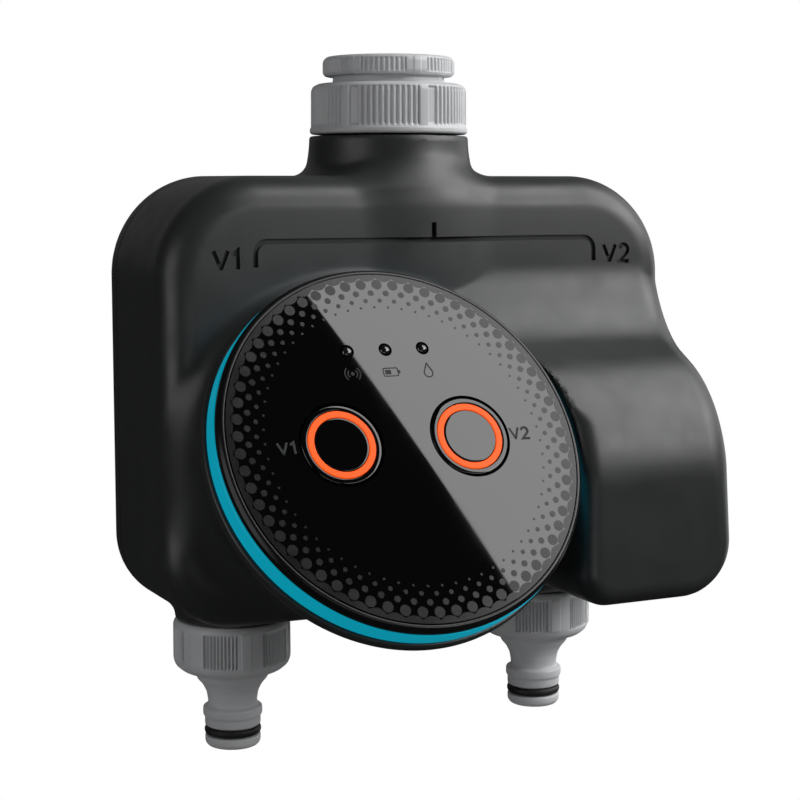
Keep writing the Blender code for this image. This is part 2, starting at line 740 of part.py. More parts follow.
def status_light_guide():
    """Three clear lenses on a web under the panel."""
    guide = box("status_light_guide", (-LAMP_PITCH - 2.2, LAMP_PITCH + 2.2),
                (LAMP_Y - 2.2, LAMP_Y + 2.2), (-5.6, -4.2), material("lens", (0.5, 0.5, 0.5), 0.1))
    on_panel(guide)
    for i in (-1, 0, 1):
        pin = rod(f"lens_{i}", 1.6, -4.6, 0.1, at=(i * LAMP_PITCH, LAMP_Y, 0), steps=12,
                  cutter=True)
        on_panel(pin)
        join(guide, pin)


def electronics():
    tray = turned("electronics_tray", [(0, -16.4), (42.0, -16.4), (44.8, -8.0), (44.8, -4.2),
                                       (46.4, -4.2), (46.4, -8.5), (43.2, -18.0), (0, -18.0)],
                  moulded_white(), steps=28)
    on_panel(tray)
    for degrees in (90, 210, 330):
        angle = math.radians(degrees)
        post = rod(f"board_post_{degrees}", 3.4, -17, -11.2, steps=16, cutter=True,
                   at=(POST_RING * math.cos(angle), POST_RING * math.sin(angle), 0))
        on_panel(post)
        join(tray, post)
    gland = rod("lead_hole", 5.5, -25, -10, at=(*LEAD_HOLE, 0), steps=16, cutter=True)
    on_panel(gland)
    cut(tray, gland)
    on_panel(rod("circuit_board", 43.5, -10.9, -9.3, board_green(), steps=28),
             rod("button_mat", 43.0, -7.0, -6.2, rubber(), steps=28),
             box("radio_module", (-26, -6), (0, 15), (-13.8, -11.2), steel()))
    for number, side in ((1, -1), (2, 1)):
        middle = side * BUTTON_X
        on_panel(box(f"tactile_switch_{number}", (middle - 3, middle + 3), (-2.5, 3.5),
                     (-9.0, -7.3), steel()))


# ---------------------------------------------------------------- battery drawer

def battery_drawer():
    x0, x1, y0, y1 = DRAWER
    cover = box("battery_cover", (x0, x1), (y0, y1), (-150, COVER_TOP), casing_black())
    keep(cover, battery_box("cover_contour", 0.0))
    cut(cover, rod("lock_recess", 5.8, -150, -139.9, at=(*LOCK, 0), cutter=True))
    prism("battery_seal", [rounded_rect(x0, x1, y0, y1, (2, 2), (2, 2), 3),
                           rounded_rect(x0 + 1.6, x1 - 1.6, y0 + 1.6, y1 - 1.6, (1, 1), (1, 1),
                                        3)], "Z", -138.2, -136.4, rubber())
    front, back = y0 + 2.0, y1 - 0.2
    side = [(front, -138.2), (y1 - 2.0, -138.2), (y1 - 2.0, -136.1), (back, -136.1),
            (back, -81.5), (-50, -81.5), (-50, -82.9), (back - 1.0, -82.9), (back - 1.0, -136.0),
            (front, -136.0)]
    prism("battery_tray", [side], "X", x0 + 2.0, x1 - 2.0, casing_black())
    for number, place in enumerate(CELLS, 1):
        turned(f"battery_cell_{number}",
               [(0, CELL_TOP), (2.6, CELL_TOP), (2.6, CELL_TOP - 1.2), (6.6, CELL_TOP - 1.2),
                (CELL_RADIUS, CELL_TOP - 1.7), (CELL_RADIUS, CELL_BOTTOM), (0, CELL_BOTTOM)],
               cell_jacket(), at=(*place, 0), steps=16)
    for name, low, high in (("contact_plate_top", CELL_TOP + 0.3, CELL_TOP + 0.7),
                            ("contact_plate_bottom", CELL_BOTTOM - 0.8, CELL_BOTTOM - 0.3)):
        box(name, (LOCK[0] - 12, LOCK[0] + 12), (-53, -35), (low, high), steel())
    lock = rod("battery_lock", 5.4, -142.1, -140.2, connector_grey(), (*LOCK, 0))
    cut(lock, box("coin_slot", (LOCK[0] - 4.2, LOCK[0] + 4.2), (LOCK[1] - 0.9, LOCK[1] + 0.9),
                  (-145, -141.1), cutter=True))
    box("terminal_block", (42, 58), (-27.1, -23.5), (-92, -82), moulded_white())


def panel_point(x, y, z):
    """A point of the panel's own frame, in the part's frame."""
    lean = Matrix.Rotation(math.radians(90 - PANEL_TILT), 3, "X")
    return tuple(Vector(PANEL_CENTRE) + lean @ Vector((x, y, z)))


def wiring_harness():
    """Leads from a plug on the board to the battery terminals and to the two solenoids."""
    hole_x, hole_y = LEAD_HOLE
    plug = box("wiring_harness", (hole_x - 5, hole_x + 5), (hole_y - 3, hole_y + 3),
               (-15.6, -11.2), lead_red())
    on_panel(plug)
    routes = {
        "valve_lead_1": (-3, [(-OUTLET_X, -11.0, -84), (-44, -16, -88), (-34, -19, -98),
                              (-24, -28, -110)]),
        "valve_lead_2": (0, [(OUTLET_X, -11.0, -84), (42, -15, -91), (24, -17, -101),
                             (4, -26, -112)]),
        "battery_lead": (3, [(50, -22.4, -87), (45, -20, -88), (36, -19, -90), (16, -21, -96),
                             (0, -32, -107)]),
    }
    for name, (offset, route) in routes.items():
        entry = [panel_point(hole_x + offset, hole_y, z) for z in (-25, -19, -14)]
        join(plug, tube_along(name, route + entry, 1.0))


def build():
    clear_scene()
    panel_axis()
    bpy.context.view_layer.update()
    front_housing()
    rear_cover()
    housing_seal()
    housing_screws()
    union_nut()
    inlet_adapter()
    inlet_seals()
    inlet_spigot()
    manifold()
    for side, number in ((-1, 1), (1, 2)):
        valve(side, number)
        outlet_connector(side, number)
    panel_rings()
    front_panel()
    buttons()
    status_light_guide()
    electronics()
    battery_drawer()
    wiring_harness()


build()
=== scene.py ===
"""Looks for the two-outlet tap timer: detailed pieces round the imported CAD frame.

Lengths are millimetres in the part's own frame until a mesh is made. The casing is modelled as
a distance field, so that its walls, ramp and neck flow into each other, and then cut crisply.
The control panel's pieces are built in the panel's frame: u to the right, v up the face and
w out of it.
"""
import math

import bmesh
import bpy
import numpy as np
from mathutils import Matrix, Vector


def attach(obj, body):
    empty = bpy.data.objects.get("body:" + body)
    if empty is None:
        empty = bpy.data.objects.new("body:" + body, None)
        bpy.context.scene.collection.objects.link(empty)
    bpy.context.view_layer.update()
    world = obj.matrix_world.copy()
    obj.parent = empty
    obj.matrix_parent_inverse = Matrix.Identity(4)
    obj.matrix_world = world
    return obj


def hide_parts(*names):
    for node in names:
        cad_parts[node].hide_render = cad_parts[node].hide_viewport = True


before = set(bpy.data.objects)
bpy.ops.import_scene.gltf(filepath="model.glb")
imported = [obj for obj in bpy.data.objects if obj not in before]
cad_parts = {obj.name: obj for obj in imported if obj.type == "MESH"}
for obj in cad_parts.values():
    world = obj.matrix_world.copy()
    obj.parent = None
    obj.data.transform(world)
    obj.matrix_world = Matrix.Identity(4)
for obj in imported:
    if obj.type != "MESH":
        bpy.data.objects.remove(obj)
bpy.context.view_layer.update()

MM = 0.001

# Driving dimensions. The panel, the box, the outlets and the fixings sit as in the CAD.
HALF_WIDTH, CASE_TOP, CASE_BOTTOM = 78.25, -24.0, -147.5
CASE_FRONT, CASE_REAR, SEAM_Y, SEAM_GAP = -28.5, 22.5, 14.0, 0.5
TOP_CORNER, BOTTOM_CORNER, MID_HEIGHT = 28.0, 22.0, -86.0
FRONT_EDGE, REAR_EDGE = 9.0, 5.0            # edge radii of the casing
WALL = 1.9
NECK_TOP, NECK_RADIUS, NECK_FLARE = -12.6, 23.0, 1.7
BOX_LEFT, BOX_RIGHT, BOX_FRONT, BOX_BOTTOM = 27.2, 77.9, -66.5, -142.3
RAMP_TOP, RAMP_BOTTOM = -59.0, -91.0
RAMP_LEFT = -30.0                           # where the ramp's head ends, behind the panel
SHOULDER, VALLEY = 20.0, 13.0               # radii at the foot and the head of the ramp
FRONT_CROWN, CROWN_START = 2.2, -66.0       # the front leans back by this much at the top
PANEL_CENTRE, PANEL_TILT = (-24.4, -62.0, -92.8), 30.5
PANEL_RADIUS, ACCENT_RADIUS, LIP_RADIUS = 49.2, 51.5, 52.4
FACE_CROWN, FACE_DROP = 0.42, 0.72          # height of the face's middle, fall to its edge
POD_RADIUS, POD_DEPTH, POD_TAPER, SCOOP_RADIUS = 50.2, 62.0, 0.1, 51.9
BUTTON_X, BUTTON_Y, BUTTON_RADIUS = 18.5, 0.5, 11.2
LAMP_PITCH, LAMP_Y, SYMBOL_Y = 11.0, 26.6, 20.0
OUTLET_X = 50.0
PITCH_SMALL, PITCH_LARGE = 1.814, 2.309     # of the 3/4 inch and the 1 inch pipe threads
DRAWER = (34.4, 66.2, -59.3, -29.2)
COVER_TOP = -138.5
LOCK = (50.3, -44.2)
CELLS = ((43.0, -38.0), (57.6, -38.0), (50.3, -50.6))
CELL_RADIUS, CELL_TOP, CELL_BOTTOM = 7.1, -84.4, -134.9
SCREWS = [(side * x, z) for x, z in ((62, -40), (67, -78), (18, -136.5)) for side in (-1, 1)]
SCREW_SEAT = 19.8
GRIP_ZERO = math.radians(116)               # grips are laid out from the front-left corner

TILT = math.radians(PANEL_TILT)
PANEL_AXES = np.array(((1, 0, 0), (0, math.sin(TILT), math.cos(TILT)),
                       (0, -math.cos(TILT), math.sin(TILT))))      # rows are u, v and w


# ------------------------------------------------------------------ materials

def linear(*srgb):
    """Linear colour from 0-255 display values."""
    return tuple(c / 255 / 12.92 if c < 10.3 else ((c / 255 + 0.055) / 1.055) ** 2.4
                 for c in srgb)


class Nodes:
    """A small helper that adds and wires the nodes of one material."""

    def __init__(self, name, roughness, metallic=0.0, ior=1.5):
        self.material = bpy.data.materials.new(name)
        self.material.use_nodes = True
        self.tree = self.material.node_tree
        self.shader = self.tree.nodes["Principled BSDF"]
        self.shader.inputs["Roughness"].default_value = roughness
        self.shader.inputs["Metallic"].default_value = metallic
        self.shader.inputs["IOR"].default_value = ior
        self.place = self.add("ShaderNodeTexCoord").outputs["Object"]

    def add(self, kind, **values):
        node = self.tree.nodes.new(kind)
        for key, value in values.items():
            setattr(node, key, value)
        return node

    def link(self, source, target):
        self.tree.links.new(source, target)

    def noise(self, size, detail=3.0, roughness=0.55, stretch=None):
        """Noise whose features are about size millimetres across."""
        node = self.add("ShaderNodeTexNoise")
        node.inputs["Scale"].default_value = 1.0 / (size * MM)
        node.inputs["Detail"].default_value = detail
        node.inputs["Roughness"].default_value = roughness
        source = self.place
        if stretch:
            mapping = self.add("ShaderNodeMapping")
            mapping.inputs["Scale"].default_value = stretch
            self.link(source, mapping.inputs["Vector"])
            source = mapping.outputs["Vector"]
        self.link(source, node.inputs["Vector"])
        return node.outputs["Fac"]

    def remap(self, value, low, high, start=0.3, end=0.7):
        node = self.add("ShaderNodeMapRange")
        for key, number in (("From Min", start), ("From Max", end), ("To Min", low),
                            ("To Max", high)):
            node.inputs[key].default_value = number
        self.link(value, node.inputs["Value"])
        return node.outputs["Result"]

    def mix(self, factor, first, second):
        """Mix of two colours; each is a colour or a socket."""
        node = self.add("ShaderNodeMix", data_type="RGBA")
        self.link(factor, node.inputs[0])
        for value, socket in ((first, node.inputs[6]), (second, node.inputs[7])):
            if isinstance(value, tuple):
                socket.default_value = (*value, 1.0)
            else:
                self.link(value, socket)
        return node.outputs[2]

    def colour(self, source):
        self.link(source, self.shader.inputs["Base Color"])

    def vary_roughness(self, size, low, high):
        self.link(self.remap(self.noise(size), low, high), self.shader.inputs["Roughness"])

    def bump(self, *layers):
        """Layers of (height socket, depth in millimetres), added up."""
        normal = None
        for height, depth in layers:
            node = self.add("ShaderNodeBump")
            node.inputs["Strength"].default_value = 1.0
            node.inputs["Distance"].default_value = depth * MM
            self.link(height, node.inputs["Height"])
            if normal:
                self.link(normal, node.inputs["Normal"])
            normal = node.outputs["Normal"]
        self.link(normal, self.shader.inputs["Normal"])


def shades(colour, share):
    return tuple(c * (1 - share) for c in colour), tuple(c * (1 + share) for c in colour)


def moulded(name, colour, roughness, grain=0.45, depth=0.006, variation=0.08, edge_highlight=0.0,
            spread=0.05, painted_glow=0.0, shine=0.5):
    """Moulded plastic: fine spark-eroded grain, uneven gloss, and sharp edges painted lighter in
    patches, a painted highlight.

    The glow is a painted glow: the share of its colour given off as emission, so the part
    seems lit whatever the lamps. shine is the strength of its reflections.
    """
    m = Nodes(name, roughness)
    m.shader.inputs["Specular IOR Level"].default_value = shine
    # painted glow: emission in the part's own colour, so it seems lit though it is no lamp
    m.shader.inputs["Emission Color"].default_value = (*colour, 1.0)
    m.shader.inputs["Emission Strength"].default_value = painted_glow
    dark, light = shades(colour, variation)
    tone = m.mix(m.remap(m.noise(14.0, 4.0), 0.0, 1.0), dark, light)
    # painted highlight: sharp convex edges made lighter, in noisy patches, where light would catch
    # them
    if edge_highlight:
        edge = m.add("ShaderNodeNewGeometry").outputs["Pointiness"]
        highlight_mask = m.add("ShaderNodeMath", operation="MULTIPLY")
        m.link(m.remap(edge, 0.0, edge_highlight, 0.505, 0.56), highlight_mask.inputs[0])
        m.link(m.remap(m.noise(3.0), 0.2, 1.0), highlight_mask.inputs[1])
        tone = m.mix(highlight_mask.outputs[0], tone, tuple(min(1.0, c * 2.2 + 0.02) for c in colour))
    m.colour(tone)
    m.vary_roughness(9.0, roughness - spread, roughness + spread)
    m.bump((m.noise(grain, 2.0), depth), (m.noise(6.0, 2.0), depth * 1.5))
    return m.material


def rubber_material(name, colour):
    m = Nodes(name, 0.6)
    dusty = tuple(c * 2.0 + 0.01 for c in colour)
    m.colour(m.mix(m.remap(m.noise(2.5, 6.0), 0.0, 0.35, 0.45, 0.75), colour, dusty))
    m.vary_roughness(4.0, 0.48, 0.7)
    m.bump((m.noise(0.3, 2.0), 0.008))
    return m.material


def brushed(name, colour, roughness, stretch):
    m = Nodes(name, roughness, metallic=1.0)
    dark, light = shades(colour, 0.12)
    streaks = m.noise(0.5, 4.0, 0.6, stretch)
    m.colour(m.mix(m.remap(streaks, 0.0, 1.0), dark, light))
    m.vary_roughness(3.0, roughness - 0.08, roughness + 0.1)
    m.bump((streaks, 0.006))
    return m.material


def wound_copper():
    """Turns of lacquered wire on a bobbin."""
    m = Nodes("visual_copper_coil", 0.3, metallic=1.0)
    turns = m.add("ShaderNodeTexWave", bands_direction="Z")
    turns.inputs["Scale"].default_value = 1.0 / (0.9 * MM) / 3.1
    turns.inputs["Distortion"].default_value = 0.25
    m.link(m.place, turns.inputs["Vector"])
    m.colour(m.mix(turns.outputs["Fac"], linear(96, 40, 18), linear(205, 112, 62)))
    m.bump((turns.outputs["Fac"], 0.12))
    return m.material


def circuit_laminate():
    """Green solder mask over copper traces."""
    m = Nodes("visual_board_green", 0.32)
    cells = m.add("ShaderNodeTexVoronoi", feature="DISTANCE_TO_EDGE", distance="MANHATTAN")
    cells.inputs["Scale"].default_value = 1.0 / (5.0 * MM)
    m.link(m.place, cells.inputs["Vector"])
    trace = m.remap(cells.outputs["Distance"], 1.0, 0.0, 0.03, 0.06)
    m.colour(m.mix(trace, linear(18, 84, 48), linear(58, 140, 84)))
    m.bump((trace, 0.03))
    return m.material


def polished_black():
    """The panel's polished face: almost a mirror, with faint moulding waves and dust."""
    m = Nodes("visual_panel_black", 0.035)
    m.colour(m.mix(m.remap(m.noise(0.8, 5.0), 0.0, 0.3, 0.62, 0.8), (0.0016, 0.0016, 0.0018),
                   (0.006, 0.006, 0.0065)))
    m.vary_roughness(16.0, 0.012, 0.03)
    return m.material


def cell_jacket():
    """Printed foil sleeve of a battery: dark body with a paler band at the positive end."""
    m = Nodes("visual_cell_jacket", 0.32, metallic=0.4)
    split = m.add("ShaderNodeSeparateXYZ")
    m.link(m.place, split.inputs[0])
    band_low, band_high = -0.0985, -0.0980
    band = m.remap(split.outputs["Z"], 0.0, 1.0, band_low, band_high)
    scuffed = m.mix(m.remap(m.noise(5.0), 0.0, 1.0), linear(38, 44, 52), linear(52, 58, 66))
    m.colour(m.mix(band, scuffed, linear(150, 138, 110)))
    m.vary_roughness(5.0, 0.26, 0.4)
    m.bump((m.noise(2.0, 2.0), 0.01))
    return m.material


def smoky_lens():
    m = Nodes("visual_lens", 0.08)
    m.colour(m.mix(m.remap(m.noise(1.0), 0.0, 1.0), (0.004, 0.004, 0.005), (0.012, 0.012, 0.014)))
    m.vary_roughness(2.0, 0.05, 0.1)
    m.shader.inputs["Coat Weight"].default_value = 0.6
    m.shader.inputs["Coat Roughness"].default_value = 0.03
    return m.material


# CASING and GREY get a painted highlight: their sharp edges are painted lighter
CASING = moulded("visual_casing_black", linear(47, 48, 48), 0.4, 0.4, 0.007, 0.06, edge_highlight=0.18)
GREY = moulded("visual_connector_grey", linear(203, 204, 206), 0.42, 0.5, 0.006, 0.06, edge_highlight=0.1)
# painted glow: the teal accent ring gives off its own colour though it is no lamp
TEAL = moulded("visual_accent_teal", linear(2, 148, 172), 0.34, 0.6, 0.004, 0.05, painted_glow=0.7,
               shine=0.3)
WHITE = moulded("visual_moulded_white", linear(214, 212, 204), 0.45, 0.6, 0.008, 0.04)
# painted glow: the orange button rings give off their own colour, so they stay bright in the
# shaded half of the face
ORANGE = moulded("visual_signal_orange", linear(243, 84, 14), 0.4, 0.5, 0.004, 0.04, painted_glow=0.6,
                 shine=0.2)
MATTE = moulded("visual_panel_matte", linear(20, 20, 21), 0.22, 0.3, 0.003, 0.1, spread=0.03,
                shine=0.3)
PRINT = moulded("visual_panel_print", linear(52, 53, 54), 0.6, 0.3, 0.003, 0.08, shine=0.15)
LEAD = moulded("visual_lead_red", linear(150, 26, 22), 0.4, 0.5, 0.006, 0.1)
POLISHED = polished_black()
RUBBER = rubber_material("visual_rubber", linear(22, 22, 23))
STEEL = brushed("visual_steel", linear(176, 178, 182), 0.3, (1.0, 1.0, 6.0))
COPPER = wound_copper()
BOARD = circuit_laminate()
JACKET = cell_jacket()
LENS = smoky_lens()

FINISH = {"casing_black": CASING, "panel_black": POLISHED, "accent_teal": TEAL,
          "connector_grey": GREY, "rubber": RUBBER, "signal_orange": ORANGE,
          "moulded_white": WHITE, "lens": LENS, "board_green": BOARD, "steel": STEEL,
          "copper_coil": COPPER, "cell_jacket": JACKET, "lead_red": LEAD}


# ------------------------------------------------------------------ mesh helpers

def make_object(name, points, faces, material=None):
    """Object from points in millimetres."""
    mesh = bpy.data.meshes.new(name)
    mesh.from_pydata((np.asarray(points, float) * MM).tolist(), [], faces)
    mesh.validate()
    obj = bpy.data.objects.new(name, mesh)
    bpy.context.scene.collection.objects.link(obj)
    if material:
        mesh.materials.append(material)
    return obj


def face_outwards(obj):
    bm = bmesh.new()
    bm.from_mesh(obj.data)
    bmesh.ops.recalc_face_normals(bm, faces=bm.faces)
    if bm.calc_volume(signed=True) < 0:
        bmesh.ops.reverse_faces(bm, faces=bm.faces)
    bm.to_mesh(obj.data)
    bm.free()
    return obj


def weld(obj, distance=0.0004):
    bm = bmesh.new()
    bm.from_mesh(obj.data)
    bmesh.ops.remove_doubles(bm, verts=bm.verts, dist=distance * MM)
    bmesh.ops.dissolve_degenerate(bm, edges=bm.edges, dist=distance * MM * 0.5)
    bm.to_mesh(obj.data)
    bm.free()
    return obj


def smooth(obj, degrees=38):
    """Smooth shading with creases where faces meet at more than the angle."""
    bm = bmesh.new()
    bm.from_mesh(obj.data)
    limit = math.radians(degrees)
    for face in bm.faces:
        face.smooth = True
    for edge in bm.edges:
        edge.smooth = edge.calc_face_angle(0.0) < limit
    bm.to_mesh(obj.data)
    bm.free()
    return obj


def finish_piece(obj, body, nodes=(), degrees=38, weighted=True):
    """Shade a piece, put it on its body and let it stand for its CAD nodes."""
    smooth(obj, degrees)
    if weighted:
        even = obj.modifiers.new("even_normals", "WEIGHTED_NORMAL")
        even.keep_sharp = True
    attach(obj, body)
    if nodes:
        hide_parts(*nodes)
    return obj


def copy_of(obj, name):
    twin = bpy.data.objects.new(name, obj.data.copy())
    bpy.context.scene.collection.objects.link(twin)
    return twin


def discard(*objects):
    for obj in objects:
        mesh = obj.data
        bpy.data.objects.remove(obj, do_unlink=True)
        if mesh.users == 0:
            bpy.data.meshes.remove(mesh)


def combine(obj, tool, operation, spare=False):
    """Apply a boolean at once. The tool is thrown away unless it is spare."""
    modifier = obj.modifiers.new("combine", "BOOLEAN")
    modifier.operation = operation
    modifier.solver = "MANIFOLD"
    modifier.object = tool
    bpy.context.view_layer.update()
    mesh = bpy.data.meshes.new_from_object(
        obj.evaluated_get(bpy.context.evaluated_depsgraph_get()))
    obj.modifiers.remove(modifier)
    old, obj.data = obj.data, mesh
    bpy.data.meshes.remove(old)
    if not spare:
        discard(tool)
    return obj


def paint(obj, material):
    """Give the whole mesh one material; booleans leave their tools' empty slots behind."""
    obj.data.materials.clear()
    obj.data.materials.append(material)
    obj.data.polygons.foreach_set("material_index", [0] * len(obj.data.polygons))
    return obj


def cut(obj, *tools):
    for tool in tools:
        combine(obj, tool, "DIFFERENCE")


def block(low, high, name="block"):
    """A plain box, used only to cut with."""
    corners = [(x, y, z) for x in (low[0], high[0]) for y in (low[1], high[1])
               for z in (low[2], high[2])]
    faces = [(0, 1, 3, 2), (4, 6, 7, 5), (0, 4, 5, 1), (2, 3, 7, 6), (0, 2, 6, 4), (1, 5, 7, 3)]
    return face_outwards(make_object(name, corners, faces))


def soften(profile, radius, closed, steps=3):
    """Round a profile's corners. Points on the axis stay."""
    points = [np.array(p, float) for p in profile]
    count = len(points)
    rounded = []
    for i, point in enumerate(points):
        at_end = not closed and i in (0, count - 1)
        before, after = points[i - 1] - point, points[(i + 1) % count] - point
        lengths = np.linalg.norm(before), np.linalg.norm(after)
        if at_end or point[0] < 0.01 or min(lengths) < 0.02:
            rounded.append(point)
            continue
        turn = np.dot(before, after) / (lengths[0] * lengths[1])
        if turn < -0.985:
            rounded.append(point)
            continue
        reach = min(radius, lengths[0] * 0.45, lengths[1] * 0.45)
        start = point + before / lengths[0] * reach
        end = point + after / lengths[1] * reach
        for k in range(steps + 1):
            t = k / steps
            rounded.append((1 - t) ** 2 * start + 2 * t * (1 - t) * point + t * t * end)
    return rounded


def refine(profile, zones, closed, step=0.4):
    """Add rows to the profile's long segments inside zones of (low z, high z, least radius)."""
    points = []
    count = len(profile)
    for i in range(count if closed else count - 1):
        a, b = np.array(profile[i], float), np.array(profile[(i + 1) % count], float)
        points.append(a)
        middle = (a + b) / 2
        if any(low <= middle[1] <= high and middle[0] >= least for low, high, least in zones):
            extra = int(np.linalg.norm(b - a) / step)
            points += [a + (b - a) * k / (extra + 1) for k in range(1, extra + 1)]
    if not closed:
        points.append(np.array(profile[-1], float))
    return points


def turned(name, profile, material, steps=128, closed=False, at=(0, 0, 0), relief=None):
    """Turn a profile of (radius, height) about Z. relief(r, z, angle) adds to the radius."""
    angles = np.arange(steps) * 2 * math.pi / steps
    points, rows = [], []
    for r, z in profile:
        if r < 0.001:
            rows.append([len(points)] * steps)
            points.append((0.0, 0.0, z))
            continue
        radii = r + (relief(r, z, angles) if relief else 0.0) * np.ones(steps)
        rows.append(list(range(len(points), len(points) + steps)))
        points += list(zip(radii * np.cos(angles), radii * np.sin(angles), np.full(steps, z)))
    faces = []
    pairs = list(zip(rows, rows[1:])) + ([(rows[-1], rows[0])] if closed else [])
    for low, high in pairs:
        for i in range(steps):
            j = (i + 1) % steps
            face = [low[i], low[j], high[j], high[i]]
            face = [v for k, v in enumerate(face) if v != face[k - 1]]
            if len(face) > 2:
                faces.append(face)
    moved = np.array(points) + np.array(at, float)
    return face_outwards(make_object(name, moved, faces, material))


def bore(name, radius, low, high, steps=96, at=(0, 0, 0)):
    """A round cutter along Z."""
    return turned(name, [(0, low), (radius, low), (radius, high), (0, high)], None, steps, at=at)


def to_panel(obj):
    """Move a mesh built at the origin in (u, v, w) to its place on the tilted panel."""
    basis = Matrix([list(column) for column in PANEL_AXES.T]).to_4x4()
    basis.translation = Vector(PANEL_CENTRE) * MM
    obj.data.transform(basis)
    return obj


def lay_along_y(obj, x, y, z):
    """Lay a turned mesh along Y, its top towards +Y."""
    obj.data.transform(Matrix.Translation(Vector((x, y, z)) * MM)
                       @ Matrix.Rotation(math.radians(-90), 4, "X"))
    return obj


def strip(path, width, low, high, closed=False):
    """Points and faces of a strip along a path in the (u, v) plane, from w low to high."""
    path = [np.array(p, float) for p in path]
    count = len(path)
    points = []
    for i, point in enumerate(path):
        before = path[i - 1] if closed or i else point
        after = path[(i + 1) % count] if closed or i < count - 1 else point
        ahead, behind = after - point, point - before
        directions = [d / np.linalg.norm(d) for d in (behind, ahead) if np.linalg.norm(d) > 0]
        along = sum(directions)
        along /= np.linalg.norm(along)
        across = np.array((-along[1], along[0]))
        spread = width / 2 / max(0.4, abs(np.dot(along, directions[0])))
        for side, height in ((1, high), (-1, high), (-1, low), (1, low)):
            points.append((*(point + side * spread * across), height))
    faces = []
    for i in range(count if closed else count - 1):
        a, b = 4 * i, 4 * ((i + 1) % count)
        faces += [(a + k, b + k, b + (k + 1) % 4, a + (k + 1) % 4) for k in range(4)]
    if not closed:
        faces += [(0, 1, 2, 3), tuple(4 * (count - 1) + k for k in (3, 2, 1, 0))]
    return points, faces


def arc_path(centre, radius, start, end, steps):
    angles = np.radians(np.linspace(start, end, steps + 1))
    return [(centre[0] + radius * math.cos(a), centre[1] + radius * math.sin(a)) for a in angles]


class Patchwork:
    """Collects small closed solids into one mesh."""

    def __init__(self):
        self.points, self.faces = [], []

    def add(self, points, faces):
        start = len(self.points)
        self.points += [tuple(p) for p in points]
        self.faces += [tuple(start + i for i in face) for face in faces]

    def disc(self, centre, radius, low, high, sides):
        ring = arc_path(centre, radius, 0, 360, sides)[:-1]
        points = [(*p, high) for p in ring] + [(*p, low) for p in ring]
        faces = [tuple(range(sides)), tuple(range(2 * sides - 1, sides - 1, -1))]
        faces += [(i, sides + i, sides + (i + 1) % sides, (i + 1) % sides) for i in range(sides)]
        self.add(points, faces)

    def strip(self, path, width, low, high, closed=False):
        self.add(*strip(path, width, low, high, closed))

    def build(self, name, material):
        return face_outwards(make_object(name, self.points, self.faces, material))


def letter_paths(text, height):
    """Strokes of a V and a digit, centred on the origin."""
    half, w = height / 2, height * 0.42
    strokes = [[(-w * 2.05, half), (-w * 1.0, -half)], [(-w * 1.1, -half), (-w * 0.05, half)]]
    left = w * 0.55
    if text == "V1":
        strokes.append([(left, half * 0.55), (left + w * 0.75, half), (left + w * 0.75, -half)])
    else:
        top = (left + w * 0.75, half - w * 0.72)
        strokes.append(arc_path(top, w * 0.72, 165, -38, 10)
                       + [(left, -half), (left + w * 1.6, -half)])
    return strokes


# ------------------------------------------------------------------ casing field

def meet(a, b, radius):
    """Rounded intersection of two distances."""
    return (np.minimum(np.maximum(a, b), -radius)
            + np.hypot(np.maximum(a + radius, 0), np.maximum(b + radius, 0)))


def fuse(a, b, radius):
    """Union of two distances with a fillet between them."""
    return (np.maximum(np.minimum(a, b), radius)
            - np.hypot(np.maximum(radius - a, 0), np.maximum(radius - b, 0)))


def ease(value, start, end):
    t = np.clip((value - start) / (end - start), 0, 1)
    return t * t * (3 - 2 * t)


def panel_space(x, y, z):
    dx, dy, dz = x - PANEL_CENTRE[0], y - PANEL_CENTRE[1], z - PANEL_CENTRE[2]
    return [axis[0] * dx + axis[1] * dy + axis[2] * dz for axis in PANEL_AXES]


